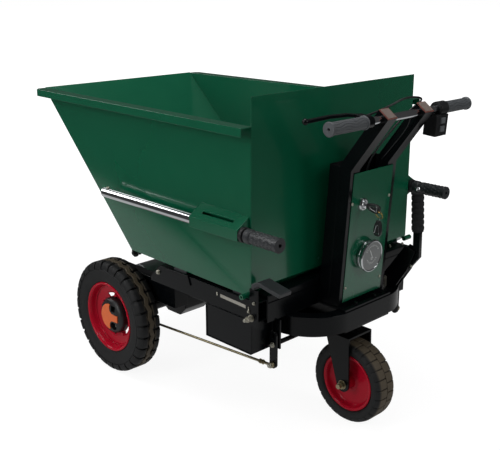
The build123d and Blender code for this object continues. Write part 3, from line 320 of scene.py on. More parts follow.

# Frame
# Welded square steel tube and folded plate in black gloss enamel that mirrors the pale floor. The tube under
# the hopper's rear edge is partly a cross member and partly painted shade that fills the gap below the
# hopper.
BLACK = ("#030507", "#06080a")
black_enamel = surface("stoved_black_enamel", BLACK, 120, ENAMEL_GLOSS, ENAMEL_PEEL, 0.012, IOR=1.3)
# node, radius of its edges in mm
FRAME_PIECES = [
    ("u_frame", 4), ("lower_cross_member", 3), ("column_stringers", 3), ("side_rails", 4),
    ("rail_cross_members", 4), ("axle_beams", 2.5), ("hinge_cross_member", 3), ("hinge_bearing", 1.5),
    ("axle_hangers", 2), ("axle_housing", 3), ("brake_shaft", 1), ("brake_arms", 1), ("battery_boxes", 2),
    ("foot_latch", 1), ("caster_mount", 1), ("caster_fork", 1.5), ("column_foot", 1.5), ("column_posts", 4),
    ("column_housing", 1), ("parking_brake_bracket", 0.8), ("parking_brake_lever", 1.5), ("hopper_hinge", 1),
]
for node, edge in FRAME_PIECES:
    dressed(node, black_enamel, "black_paint", edge)

# Bolts, nuts and rivets
# Zinc-plated steel: a hexagon on its washer, or a low round head. Every one of them is set by one tree
# on a point that says which way it faces and its size, where 1 is an M8.
ZINC = ("#a9a79c", "#cfcbbd")
SAME_PLACE = 0.000001
FASTENER_CREASE = 35
SIDES = ((1, "left"), (-1, "right"))

zinc_plate = surface("zinc_plated_steel", ZINC, 6, (0.25, 0.45), 1.2, 0.01, Metallic=1.0)
yellow_zinc = surface("yellow_zinc_plate", ("#8f8568", "#b5ab8c"), 9, (0.28, 0.45), 1.2, 0.01, Metallic=1.0)


def new_tree(name, *sockets):
    """A tree with input sockets from (label, kind) pairs and one geometry output, and its inputs."""
    tree = bpy.data.node_groups.new(name, "GeometryNodeTree")
    for label, kind in sockets:
        tree.interface.new_socket(name=label, in_out="INPUT", socket_type=f"NodeSocket{kind}")
    tree.interface.new_socket(name="Geometry", in_out="OUTPUT", socket_type="NodeSocketGeometry")
    return tree, add_node(tree, "NodeGroupInput").outputs


def made_real(tree, placed, finish):
    """Ends a tree: its instances become real, take their material and come out."""
    instances = {"Geometry": placed.outputs["Instances"]}
    real = add_node(tree, "GeometryNodeRealizeInstances", instances).outputs[0]
    coloured = add_node(tree, "GeometryNodeSetMaterial", {"Geometry": real, "Material": finish}).outputs[0]
    add_node(tree, "NodeGroupOutput", {"Geometry": coloured})
    return tree


def fastener_tree():
    """The tree that sets one fastener on every point of a mesh, facing the way that the point says."""
    sockets = (("Geometry", "Geometry"), ("Fastener", "Object"), ("Finish", "Material"))
    tree, given = new_tree("fasteners_on_points", *sockets)
    named = "GeometryNodeInputNamedAttribute"
    facing = add_node(tree, named, {"data_type": "FLOAT_VECTOR", "Name": "facing"}).outputs["Attribute"]
    size = add_node(tree, named, {"data_type": "FLOAT", "Name": "size"}).outputs["Attribute"]
    upright = {"axis": "Z", "Vector": facing}
    turn = add_node(tree, "FunctionNodeAlignRotationToVector", upright).outputs["Rotation"]
    source = add_node(tree, "GeometryNodeObjectInfo", {"Object": given["Fastener"]}).outputs["Geometry"]
    places = {"Points": given["Geometry"], "Instance": source, "Rotation": turn, "Scale": size}
    return made_real(tree, add_node(tree, "GeometryNodeInstanceOnPoints", places), given["Finish"])


def as_shown(made):
    """A new plain mesh of a piece with its modifiers applied."""
    return bpy.data.meshes.new_from_object(made.evaluated_get(bpy.context.evaluated_depsgraph_get()))


def grown(name, carrier, tree, given):
    """The plain mesh object that a tree makes on a carrier mesh, with its inputs given by name."""
    base = bpy.data.objects.new(f"{name}_carrier", carrier)
    add_to_scene(base)
    modifier = base.modifiers.new("grown", "NODES")
    modifier.node_group = tree
    for socket in tree.interface.items_tree:
        if socket.in_out == "INPUT" and socket.name in given:
            modifier[socket.identifier] = given[socket.name]
    made = bpy.data.objects.new(name, as_shown(base))
    bpy.data.objects.remove(base)
    add_to_scene(made)
    return made


def around(radius, angle, height=0.0):
    """A place round the Y axis, at a radius, an angle and a height along the axis in mm."""
    return metres(radius * cos(angle), height, radius * sin(angle))


def lathe(outline, segments, closed=True, hole=None, sway=None):
    """A ring turned about Y from (radius, height) corners in mm. hole(radius, angle) leaves faces out,
    and sway(step) shifts a step along the axis."""
    shape = bmesh.new()
    rings = []
    for step in range(segments):
        angle = tau * step / segments
        shift = sway(step) if sway else 0.0
        rings.append([shape.verts.new(around(radius, angle, height + shift)) for radius, height in outline])
    for step in range(segments):
        ring, after = rings[step], rings[(step + 1) % segments]
        for low in range(len(outline) - (0 if closed else 1)):
            high = (low + 1) % len(outline)
            middle = (outline[low][0] + outline[high][0]) / 2
            if not (hole and hole(middle, tau * (step + 0.5) / segments)):
                shape.faces.new((ring[low], ring[high], after[high], after[low]))
    bmesh.ops.remove_doubles(shape, verts=shape.verts, dist=SAME_PLACE)
    bmesh.ops.recalc_face_normals(shape, faces=shape.faces)
    return shape


def merged(name, shapes):
    """One bmesh from several bmeshes or objects' meshes, which it uses up."""
    whole = bmesh.new()
    for shape in shapes:
        used = unlinked(name, shape) if isinstance(shape, bmesh.types.BMesh) else shape
        whole.from_mesh(used.data)
        bpy.data.objects.remove(used)
    return whole


# The (radius, height) outlines of the fasteners, in mm at size 1
HEX_WASHER = [(0, 0), (8.4, 0), (8.4, 1.2), (8, 1.6), (0, 1.6)]
HEX_HEAD = [(0, 1.6), (7.2, 1.6), (7.2, 6), (6.2, 6.9), (0, 6.9)]
ROUND_HEAD = [(0, 0), (6.5, 0), (6.3, 1.6), (5.2, 3), (3.2, 3.9), (0, 4.2)]


def fastener(name, outlines):
    """A fastener that stands on its base and faces up, from turned outlines and their corner counts."""
    shape = merged(name, [lathe(*row) for row in outlines])
    shape.transform(Matrix.Rotation(pi / 2, 4, "X"))
    return unlinked(name, shape)


hex_bolt = fastener("hex_bolt", [(HEX_WASHER, 24), (HEX_HEAD, 6)])
round_head = fastener("round_head", [(ROUND_HEAD, 20)])
set_fasteners = fastener_tree()


def fasteners(name, body, slot, source, finish, places):
    """Sets fasteners on (place, direction, size) rows, as one piece on one body."""
    carrier = bpy.data.meshes.new(name)
    carrier.from_pydata([place for place, _, _ in places], [], [])
    carrier.attributes.new("facing", "FLOAT_VECTOR", "POINT")
    carrier.attributes.new("size", "FLOAT", "POINT")
    for index, (_, direction, scale) in enumerate(places):
        carrier.attributes["facing"].data[index].vector = direction
        carrier.attributes["size"].data[index].value = scale
    made = grown(name, carrier, set_fasteners, {"Fastener": source, "Finish": finish})
    return finished(smoothed(made, FASTENER_CREASE), body, slot)


UP = Vector((0, 0, 1))
LEFT, RIGHT = Vector((0, 1, 0)), Vector((0, -1, 0))
# x, distance from the middle, z, size
SIDE_BOLTS = [
    (-308, 366, 450, 0.9), (-91, 260, 337, 0.8), (-117, 260, 311, 0.8),
    (-30, 253, 225, 0.8), (-30, 253, 175, 0.8), (30, 253, 175, 0.8),
]
FOOT_BOLTS = [(-846, 45), (-846, -45), (-765, 60), (-765, -60)]
FOOT_TOP = 408

frame_bolts = []
for side, out in ((1, LEFT), (-1, RIGHT)):
    frame_bolts += [(at(x, side * y, z), out, size) for x, y, z, size in SIDE_BOLTS]
fasteners("frame_bolts", "chassis", "zinc", hex_bolt, zinc_plate, frame_bolts)
foot_bolts = [(at(x, y, FOOT_TOP), UP, 0.9) for x, y in FOOT_BOLTS]
fasteners("column_foot_bolts", "chassis", "black_paint", hex_bolt, black_enamel, foot_bolts)


def plate(name, corners, thickness, out, finish, edge=0.6):
    """A flat plate from its outer face's corners in metres, standing on what it is fixed to."""
    shape = bmesh.new()
    face = shape.faces.new([shape.verts.new(corner) for corner in corners])
    pushed = bmesh.ops.extrude_face_region(shape, geom=[face])
    backs = [item for item in pushed["geom"] if isinstance(item, bmesh.types.BMVert)]
    bmesh.ops.translate(shape, verts=backs, vec=Vector(out) * thickness / 1000)
    bmesh.ops.recalc_face_normals(shape, faces=shape.faces)
    return rounded(as_object(name, shape, finish), edge)


def boxes(name, frame_matrix, rows, finish, edge):
    """Boxes as (centre, size, turn about x in degrees) rows, in mm in a frame, as one object."""
    shape = bmesh.new()
    for centre, size, turn in rows:
        place = Matrix.Translation(metres(*centre)) @ Matrix.Rotation(radians(turn), 4, "X")
        bmesh.ops.create_cube(shape, size=0.001, matrix=frame_matrix @ place @ Matrix.Diagonal((*size, 1)))
    bmesh.ops.recalc_face_normals(shape, faces=shape.faces)
    made = as_object(name, shape, finish)
    return rounded(made, edge) if edge else made


# the black tube under the hopper's rear edge, as its centre, size and turn: partly the cross member there,
# partly painted shade that fills the gap seen under the hopper
REAR_TUBE_AND_PAINTED_SHADE = ((-723, 0, 471.3), (56, 650, 22.6), 0)
# the folded edges round a battery box's outer face, as x, z, length and height of each
BOX_FACE_Y = 367.2
BOX_EDGE = 3.0
BOX_EDGES = [
    (-631, 308.5, 194, BOX_EDGE), (-631, 410, 194, BOX_EDGE),
    (-535.5, 360, BOX_EDGE, 104), (-726.5, 360, BOX_EDGE, 104),
]
# x and z of the corners of a rail's gusset, and of the blank riveted strip with its rivets
RAIL_FACE_Y = 366
GUSSET = [(-412, 448), (-466, 448), (-455, 478), (-430, 478)]
STRIP = [(-598, 458), (-598, 448), (-704, 444), (-704, 454)]
STRIP_RIVETS = [(-584, 452), (-716, 450), (-584, 458), (-716, 444)]
RIVET_SEAT = 0.5

layout = Matrix.Translation(at(0, 0, 0))
# a black box that is partly a cross member and partly painted shade in the gap under the hopper's rear edge
finished(boxes("rear_rest_tube", layout, [REAR_TUBE_AND_PAINTED_SHADE], black_enamel, 3.0), "chassis", "black_paint")
box_edges = []
for side, _ in SIDES:
    for x, z, length, height in BOX_EDGES:
        box_edges.append(((x, side * BOX_FACE_Y, z), (length, BOX_EDGE, height), 0))
finished(boxes("battery_box_edges", layout, box_edges, black_enamel, 0.8), "chassis", "black_paint")

brushed_plate = surface("brushed_aluminium", ("#b5b1a8", "#d8d4ca"), 8, (0.3, 0.5), 0.8, 0.01, Metallic=1.0)
for side, word in SIDES:
    gusset = [at(x, side * RAIL_FACE_Y, z) for x, z in GUSSET]
    finished(plate(f"rail_gusset_{word}", gusset, 4, LEFT * side, black_enamel), "chassis", "black_paint")
strip = [at(x, RAIL_FACE_Y, z) for x, z in STRIP]
finished(plate("blank_rail_plate", strip, 0.8, LEFT, brushed_plate, 0.2), "chassis", "zinc")
rivets = [(at(x, RAIL_FACE_Y + RIVET_SEAT, z), LEFT, 0.45) for x, z in STRIP_RIVETS]
fasteners("blank_plate_rivets", "chassis", "zinc", round_head, zinc_plate, rivets)

# Front tyres
# Moulded natural-rubber tyres with 28 shoulder lugs a side and a waved centre rib. The crown is worn
# to a dusty brown, and the walls stay dark.
FRONT_RADIUS = 200.0
FRONT_AXLE_Z = FRONT_RADIUS
HALF_TRACK = 317.0
FRONT_LUGS = 28
FRONT_CARCASS = [
    (115.2, 29.5), (123.8, 32.8), (126.5, 36.5), (132, 39.5), (142, 42.3), (154, 43.6),
    (165, 43.4), (168, 44.2), (170.5, 43.4), (172, 42), (178, 41.4), (186, 38.5), (193, 31),
]
FRONT_LUG = [
    (186, 13), (198.6, 14), (200, 15.8), (200, 29.5), (198.2, 34.5), (193, 39.6),
    (186.5, 42.8), (177, 44.6), (173.5, 43.2), (176, 38), (186, 32),
]
CENTRE_RIB = [(189, -9.5), (198.8, -8.2), (200, -6.8), (200, 6.8), (198.8, 8.2), (189, 9.5)]
RIB_WAVE = 4.5
# the groove between two blocks, as an angle at the axle
LUG_GAP = 0.04
# stations along a block: share of its half angle, drop of its top in mm
BLOCK_SLICES = [(-1, 1.4), (-0.86, 0), (-0.3, 0), (0.3, 0), (0.86, 0), (1, 1.4)]
TREAD_CREASE = 32
RUBBER = ("#0f1011", "#161718")
# the crown's dust: its colour, how deep it reaches, how softly it ends, and its half width
WORN_RUBBER = "#4b4234"
WORN_DEPTH = 7
WORN_FADE = 8
FRONT_WORN = 12.0


def tyre_rubber(name, axle, radius, track, band):
    """Black rubber with a dusty crown, a band of a half width at a half track. Sizes in mm."""
    finish = surface(name, RUBBER, 35, (0.55, 0.75), 1.4, 0.05, IOR=1.4)
    tree = finish.node_tree
    shader = tree.nodes["Principled BSDF"]
    tint = shader.inputs["Base Color"].links[0].from_node
    place = add_node(tree, "ShaderNodeTexCoord").outputs["Object"]
    centred = add_node(tree, "ShaderNodeVectorMath", {"operation": "SUBTRACT", 0: place, 1: axle}).outputs[0]
    flat = {"operation": "MULTIPLY", 0: centred, 1: (1, 0, 1)}
    level = add_node(tree, "ShaderNodeVectorMath", flat).outputs[0]
    reach = add_node(tree, "ShaderNodeVectorMath", {"operation": "LENGTH", 0: level}).outputs["Value"]
    worn = ranged(tree, reach, (radius - WORN_DEPTH) / 1000, radius / 1000, 0.0, 1.0)
    sideways = add_node(tree, "ShaderNodeSeparateXYZ", {0: place}).outputs["Y"]
    for shift in (0.0, track / 1000):
        sideways = maths(tree, "ABSOLUTE", maths(tree, "SUBTRACT", sideways, shift))
    central = ranged(tree, sideways, band / 1000, (band + WORN_FADE) / 1000, 1.0, 0.0)
    dusty = maths(tree, "MULTIPLY", worn, central)
    shades = {"data_type": "RGBA", 0: dusty, 6: tint.outputs[2], 7: linear(WORN_RUBBER)}
    crown = add_node(tree, "ShaderNodeMix", shades)
    tree.links.new(crown.outputs[2], shader.inputs["Base Color"])
    return finish


def other_side(section):
    """A section mirrored to its wheel's other side."""
    return [(radius, -height) for radius, height in section]


def both_walls(half):
    """A whole section from its outer half, closed through the other side."""
    return half + other_side(half)[::-1]


def lug_block(name, section, count, gap):
    """One of a count of tread blocks about the Y axis: its section swept over its pitch, with worn ends."""
    half = tau / count / 2 - gap / 2
    shape = bmesh.new()
    rings = []
    for share, drop in BLOCK_SLICES:
        places = [around(radius - drop, half * share, height) for radius, height in section]
        rings.append([shape.verts.new(place) for place in places])
    for ring, after in zip(rings, rings[1:]):
        for low in range(len(section)):
            high = (low + 1) % len(section)
            shape.faces.new((ring[low], ring[high], after[high], after[low]))
    shape.faces.new(rings[0])
    shape.faces.new(rings[-1][::-1])
    bmesh.ops.recalc_face_normals(shape, faces=shape.faces)
    return unlinked(name, shape)


def ring_tree():
    """The tree that repeats one piece at even angles about the Y axis."""
    sockets = (("Repeat", "Object"), ("Count", "Int"), ("First angle", "Float"), ("Finish", "Material"))
    tree, given = new_tree("repeats_round_an_axle", *sockets)
    source = add_node(tree, "GeometryNodeObjectInfo", {"Object": given["Repeat"]}).outputs["Geometry"]
    points = add_node(tree, "GeometryNodePoints", {"Count": given["Count"]}).outputs[0]
    index = add_node(tree, "GeometryNodeInputIndex").outputs[0]
    step = maths(tree, "DIVIDE", tau, given["Count"])
    angle = maths(tree, "MULTIPLY_ADD", index, step, given["First angle"])
    about = add_node(tree, "ShaderNodeCombineXYZ", {"Y": angle}).outputs[0]
    turn = add_node(tree, "FunctionNodeEulerToRotation", {"Euler": about}).outputs[0]
    places = {"Points": points, "Instance": source, "Rotation": turn}
    return made_real(tree, add_node(tree, "GeometryNodeInstanceOnPoints", places), given["Finish"])


repeat_round = ring_tree()


def joined(name, finish, *shapes, crease=50):
    """One object from several bmeshes or objects' meshes, which it uses up."""
    whole = merged(name, shapes)
    for face in whole.faces:
        face.material_index = 0
    return as_object(name, whole, finish, crease)


def ring_of(block, count, first_angle, finish):
    """Repeats a block round the Y axis, in steps of a full turn's share, and keeps the block."""
    given = {"Repeat": block, "Count": count, "First angle": first_angle, "Finish": finish}
    return grown(f"{block.name}_ring", bpy.data.meshes.new("empty"), repeat_round, given)


def block_rings(section, count, gap, finish):
    """A tread's two rings of blocks, the far one half a pitch behind the near one."""
    rings = []
    for name, half, first_angle in (("near", section, 0.0), ("far", other_side(section), tau / count / 2)):
        block = lug_block(f"{name}_block", half, count, gap)
        rings.append(ring_of(block, count, first_angle, finish))
        bpy.data.objects.remove(block)
    return rings


front_rubber = tyre_rubber("worn_front_rubber", at(0, 0, FRONT_AXLE_Z), FRONT_RADIUS, HALF_TRACK, FRONT_WORN)
for side, word in SIDES:
    carcass = lathe(both_walls(FRONT_CARCASS), 160)
    rib = lathe(CENTRE_RIB, FRONT_LUGS * 4, sway=lambda step: RIB_WAVE * (1, 0, -1, 0)[step % 4])
    lugs = block_rings(FRONT_LUG, FRONT_LUGS, LUG_GAP, front_rubber)
    tyre = joined(f"front_tread_{word}", front_rubber, carcass, rib, *lugs, crease=TREAD_CREASE)
    tyre.data.transform(Matrix.Translation(at(0, side * HALF_TRACK, FRONT_AXLE_Z)))
    finished(tyre, f"front_wheel_{word}", "tyre_rubber", f"front_tyre_{word}")

# Front rims and hub caps
# Pressed steel rims in glossy red enamel with five openings round the hub, and a bolt beside each. The
# cap over the geared hub is moulded black plastic with two pockets and a plain orange accent.
RED = ("#960a1e", "#a60f26")
RIM_SHEET = 3.6
FRONT_BOWL = [
    (123.6, 34), (123.2, 37), (121, 38), (118.6, 36.4), (116.2, 32), (114.2, 25), (112.6, 16),
    (109, 10), (103, 7.4), (95, 5.6), (88, 4.6), (80, 3), (66, -1.6), (54, -5), (40.2, -8.2),
]
FRONT_BARREL = [
    (123.6, -34), (123.2, -37), (121, -38), (118.6, -36.4), (112.8, -28), (111.8, -8), (110.8, 6),
    (108, 15.5),
]
RIM_STEPS = 150
RIM_CREASE = 60
WINDOWS = 5
RIM_BOLT_ANGLE = 0.38
RIM_BOLT_RADIUS = 74.0
RIM_BOLT_SEAT = 4.2
WINDOW_HALF_ANGLE = 0.24
WINDOW_RADII = (66.0, 80.0)
HUB_BODY = [
    (12.8, -36), (38.8, -36), (38.8, -1.4), (64, -1.4), (65, 1), (65, 12), (63.8, 19),
    (60, 25), (52, 29.4), (38, 32.6), (20, 34.2), (0, 34.6), (0, 9.5), (12.8, 9.5),
]

red_enamel = surface(
    "stoved_red_enamel", RED, 90, (0.16, 0.26), ENAMEL_PEEL, 0.01,
    IOR=1.2, Coat_Weight=0.1, Coat_Roughness=0.03,
)
black_abs = surface("moulded_black_plastic", ("#0e0f10", "#17181a"), 20, (0.38, 0.5), 0.8, 0.02, IOR=1.5)
orange_abs = surface("moulded_orange_plastic", ("#c4541c", "#d4652a"), 15, (0.4, 0.5), 0.8, 0.02, IOR=1.5)


def in_window(radius, angle):
    """Whether a place on the disc lies in one of its openings."""
    pitch = tau / WINDOWS
    off = (angle + pitch / 2) % pitch - pitch / 2
    return WINDOW_RADII[0] < radius < WINDOW_RADII[1] and abs(off) < WINDOW_HALF_ANGLE


def sheet_metal(made, thickness):
    """Gives a sheet its thickness in mm, half to each side."""
    wall = made.modifiers.new("sheet", "SOLIDIFY")
    wall.thickness = thickness / 1000
    wall.offset = 0.0
    return made


def cut_away(made, cutters):
    """Takes objects out of a piece and leaves it a plain mesh."""
    for cutter in cutters:
        add_to_scene(cutter)
        cut = made.modifiers.new("cut", "BOOLEAN")
        cut.operation = "DIFFERENCE"
        cut.solver = "EXACT"
        cut.object = cutter
    whole = as_shown(made)
    made.modifiers.clear()
    made.data = whole
    for cutter in cutters:
        bpy.data.objects.remove(cutter)
    return made


# angle round the hub, corners of the pocket
CAP_POCKETS = [(radians(122), 4), (radians(238), 24)]
POCKET_REACH = 38.0
POCKET_RADIUS = 15.0
POCKET_FLOOR = 16.0
POCKET_TOP = 60.0
CAP_CREASE = 40
# the accent's plain band and its end angle either way, the rim left round each pocket, and the bar
# between the pockets
BAND_END = radians(94)
BAND_RADIUS = 46.0
COLLAR_RADIUS = 19.0
COLLAR_START = radians(25)
BAR_HALF_WIDTH = 12.0
BAR_REACH = 46.0
ACCENT_BACK = 27.0
ACCENT_FACE = 35.0


def pocket(angle, corners):
    """A straight-sided cutter along Y, at its angle round the hub."""
    side = [(POCKET_RADIUS, POCKET_FLOOR), (POCKET_RADIUS, POCKET_TOP)]
    shape = lathe([(0.0, POCKET_FLOOR), *side, (0.0, POCKET_TOP)], corners)
    shape.transform(Matrix.Rotation(pi / 4, 4, "Y"))
    shape.transform(Matrix.Translation(around(POCKET_REACH, angle)))
    return unlinked("pocket", shape)


def accent(name):
    """The cap's accent about Y: a band round part of the hub, joined to a bar between its pockets."""
    turns = [BAND_END * (step / 12 - 1) for step in range(25)]
    outline = [(BAND_RADIUS * cos(turn), BAND_RADIUS * sin(turn)) for turn in turns]
    angle = CAP_POCKETS[0][0]
    mid_x, mid_z = POCKET_REACH * cos(angle), POCKET_REACH * sin(angle)
    turns = [COLLAR_START - (COLLAR_START + pi / 2) * step / 10 for step in range(11)]
    upper = [(mid_x + COLLAR_RADIUS * cos(turn), mid_z + COLLAR_RADIUS * sin(turn)) for turn in turns]
    upper.append((-BAR_REACH, BAR_HALF_WIDTH))
    outline += upper + [(x, -z) for x, z in reversed(upper)]
    corners = [metres(x, ACCENT_BACK, z) for x, z in outline]
    return plate(name, corners, ACCENT_FACE - ACCENT_BACK, LEFT, orange_abs, 0.8)


for side, word in SIDES:
    place = Matrix.Translation(at(0, side * HALF_TRACK, FRONT_AXLE_Z))
    if side < 0:
        place = place @ Matrix.Rotation(pi, 4, "Z")
    body = f"front_wheel_{word}"
    bowl = lathe(FRONT_BOWL, RIM_STEPS, closed=False, hole=in_window)
    barrel = lathe(FRONT_BARREL, RIM_STEPS, closed=False)
    pressed = joined(f"front_rim_pressed_{word}", red_enamel, bowl, barrel, crease=RIM_CREASE)
    rim = sheet_metal(pressed, RIM_SHEET)
    rim.data.transform(place)
    finished(rim, body, "red_paint", f"front_rim_{word}")
    cap = as_object(f"front_hub_cap_{word}", lathe(HUB_BODY, 96), black_abs, crease=CAP_CREASE)
    cap = smoothed(cut_away(cap, [pocket(*row) for row in CAP_POCKETS]), CAP_CREASE)
    cap.data.transform(place)
    finished(rounded(cap, 0.8), body, "black_plastic", f"front_hub_{word}")
    piece = accent(f"hub_accent_{word}")
    piece.data.transform(place)
    finished(piece, body, "black_plastic")
    bolt_angles = [tau * turn / WINDOWS + RIM_BOLT_ANGLE for turn in range(WINDOWS)]
    rim_bolts = [
        (place @ around(RIM_BOLT_RADIUS, angle, RIM_BOLT_SEAT), LEFT * side, 0.8) for angle in bolt_angles
    ]
    fasteners(f"rim_bolts_{word}", body, "red_paint", hex_bolt, red_enamel, rim_bolts)
    cap_bolt = (place @ around(POCKET_REACH, CAP_POCKETS[1][0], POCKET_FLOOR), LEFT * side, 0.9)
    fasteners(f"hub_cap_bolts_{word}", body, "zinc", hex_bolt, zinc_plate, [cap_bolt])
for node in ("axle_shafts", "brake_plates"):
    dressed(node, zinc_plate, "zinc", 0.6)

# Rear caster wheel
# A swivelling wheel with a solid rubber tyre: brown block tread parted by a centre groove, on a red
# pressed rim, and a zinc-plated axle with nuts outside the fork.
CASTER_X = -814.0
CASTER_RADIUS = 131.5
CASTER_BLOCKS = 26
CASTER_GAP = 0.02
CASTER_CARCASS = [
    (86.5, 26), (93.4, 29.4), (95.5, 33), (98, 37.5), (103, 40.6), (110, 41.8), (116, 41.4),
    (118.5, 39.8), (123, 36.8), (126.6, 28),
]
CASTER_BLOCK = [
    (122.5, 0.9), (131.1, 1), (131.5, 1.6), (131.5, 27), (130.3, 32), (127, 36.6), (122, 40),
    (117.5, 41.9), (115.5, 40.5), (118, 36), (122.5, 30),
]
CASTER_BOWL = [
    (92.6, 32.2), (92.4, 34), (90.8, 34.8), (86.5, 34), (84.4, 32), (83.2, 26), (81, 18),
    (76, 13.8), (66, 12.8), (50, 12.8), (34, 13.2), (25, 15.5), (22, 20),
]
CASTER_BARREL = [(84, -26), (84, 26)]
CASTER_HUB = [(8.2, 49.4), (18, 49.4), (21, 47.5), (22, 44), (22, 0)]
CASTER_SHEET = 2.6
CASTER_WORN = 27.0
CASTER_STEPS = 120
FORK_FACE_Y = 56

caster_axle = at(CASTER_X, 0, CASTER_RADIUS)
caster_place = Matrix.Translation(caster_axle)
caster_rubber = tyre_rubber("worn_caster_rubber", caster_axle, CASTER_RADIUS, 0.0, CASTER_WORN)
carcass = lathe(both_walls(CASTER_CARCASS), 128)
blocks = block_rings(CASTER_BLOCK, CASTER_BLOCKS, CASTER_GAP, caster_rubber)
caster_tread = joined("caster_tread", caster_rubber, carcass, *blocks, crease=TREAD_CREASE)
caster_tread.data.transform(caster_place)
finished(caster_tread, "caster_wheel", "tyre_rubber", "caster_tyre")

rim_lines = (CASTER_BOWL, other_side(CASTER_BOWL), CASTER_BARREL)
sheets = [lathe(line, CASTER_STEPS, closed=False) for line in rim_lines]
caster_rim = sheet_metal(joined("caster_rim_pressed", red_enamel, *sheets, crease=RIM_CREASE), CASTER_SHEET)
caster_rim.data.transform(caster_place)
finished(caster_rim, "caster_wheel", "red_paint", "caster_rim")
caster_hub = as_object("caster_hub", lathe(both_walls(CASTER_HUB), 48), red_enamel)
caster_hub.data.transform(caster_place)
finished(rounded(caster_hub, 0.8), "caster_wheel", "red_paint")
dressed("caster_axle_bolt", yellow_zinc, "zinc", 1.0)
caster_nuts = [(at(CASTER_X, side * FORK_FACE_Y, CASTER_RADIUS), LEFT * side, 1.75) for side, _ in SIDES]
fasteners("caster_axle_nuts", "caster_fork", "zinc", hex_bolt, yellow_zinc, caster_nuts)

# Lift handles
# A bright chromed steel tube slides in a folded green holder on each side wall, through a black
# collar. Its moulded rubber grip has a plain band, a groove and rows of oval bumps.
TUBE_Y = 390.0
TUBE_Z = 672.0
GRIP_FRONT_X = -736.0
LIFT_GRIP = [
    (16.05, 0), (19.6, 0), (20.8, 1.2), (20.8, 16), (19.8, 17), (19.8, 19.5), (17.6, 21), (17.6, 25),
    (19.4, 27), (19.4, 110), (20.2, 112), (20.9, 114), (20.9, 121.4), (19.6, 123), (6.4, 123),
    (5.4, 122), (5.4, 118), (16.05, 118),
]
BUMP_ROWS = 6
BUMPS_ROUND = 12
BUMP_PITCH = 13.4
BUMP_FIRST = 36.0
BUMP_SEAT = 19.3
BUMP_SIZE = (1.6, 4.6, 3.2)
# the stop bolt on the tube's top, near its front end
STOP_X = -90
STOP_RISE = 15.5

chrome = surface("bright_chrome", ("#c9cccf", "#dfe1e3"), 60, (0.07, 0.13), 2.0, 0.004, Metallic=1.0)
black_rubber = surface("moulded_black_rubber", ("#202224", "#2c2e31"), 18, (0.34, 0.46), 0.9, 0.03, IOR=1.5)
bump_shape = bmesh.new()
bmesh.ops.create_icosphere(bump_shape, subdivisions=2, radius=0.001)
bump_shape.transform(Matrix.Translation(metres(BUMP_SEAT, 0, 0)) @ Matrix.Diagonal((*BUMP_SIZE, 1)))
bump = unlinked("grip_bump", bump_shape)
for side, word in SIDES:
    body = f"lift_handle_{word}"
    dressed(f"lift_tube_{word}", chrome, "chrome", 0.6)
    rows = [lathe(LIFT_GRIP, 64)]
    for row in range(BUMP_ROWS):
        ring = ring_of(bump, BUMPS_ROUND, tau / BUMPS_ROUND * (row % 2) / 2, black_rubber)
        ring.data.transform(Matrix.Translation(metres(0, BUMP_FIRST + BUMP_PITCH * row, 0)))
        rows.append(ring)
    grip = joined(f"lift_grip_moulded_{word}", black_rubber, *rows, crease=35)
    grip_start = Matrix.Translation(at(GRIP_FRONT_X, side * TUBE_Y, TUBE_Z))
    grip.data.transform(grip_start @ Matrix.Rotation(pi / 2, 4, "Z"))
    finished(grip, body, "rubber", f"lift_grip_{word}")
    stop = (at(STOP_X, side * TUBE_Y, TUBE_Z + STOP_RISE), UP, 0.75)
    fasteners(f"handle_stop_{word}", body, "zinc", hex_bolt, zinc_plate, [stop])
bpy.data.objects.remove(bump)
dressed("handle_holders", green_enamel, "green_paint", 1.4)
dressed("latch_pins", green_enamel, "green_paint", 0.8)
dressed("handle_collars", black_abs, "black_plastic", 0.8)
dressed("latch_pedal", black_rubber, "rubber", 2.5)
dressed("rest_pads", black_rubber, "rubber", 1.0)

# Brake linkage, latch and drive
# Zinc-plated rods with threaded ends, clevis bolts and lock nuts, and the latch's threaded stud. The
# drive motor is a plain cast drum above the axle housing.
BRAKE_ROD = (at(-748, 305.8, 262), at(-62, 236.8, 180))
# how far the lock nuts are from a rod's rear end, in metres, and the thread's start, pitch and turns
LOCK_NUTS = (0.034, 0.046)
NUT = [(4.2, 0), (7.4, 0), (7.4, 6), (4.2, 6)]
THREAD_START = 14.0
THREAD_PITCH = 1.4
THREAD_TURNS = 24
# x, distance from the middle, z, size
CLEVIS_BOLTS = [(-748, 311.2, 262, 0.95), (-748, 300.2, 324, 1)]
LATCH_BOLTS = [(-749, 475), (-729, 445)]
LATCH_FACE_Y = 378.2
STUD_PLACE = at(-739, 378, 428)
# the stud's washers, nuts and thread: an outline and its count of corners
STUD = [
    ([(0, 0), (10.5, 0), (10.5, 2), (0, 2)], 32),
    ([(0, 2), (8.6, 2), (8.6, 8.5), (7.4, 9.4), (0, 9.4)], 6),
    ([(0, 14), (8.6, 14), (8.6, 15.6), (0, 15.6)], 32),
    ([(0, 15.6), (7.6, 15.6), (7.6, 20.6), (0, 20.6)], 6),
    ([(0, 9), (4.8, 9), (4.8, 28), (3.8, 29.5), (0, 29.5)], 24),
]
cast_aluminium = surface("cast_aluminium", ("#8a8c8e", "#a6a8aa"), 14, (0.4, 0.55), 1.1, 0.03, Metallic=1.0)


def along(shape, start, direction):
    """Turns a shape made about +Y from the origin so that it runs in a direction from a place."""
    turn = Vector((0, 1, 0)).rotation_difference(Vector(direction).normalized()).to_matrix().to_4x4()
    shape.transform(Matrix.Translation(start) @ turn)
    return shape


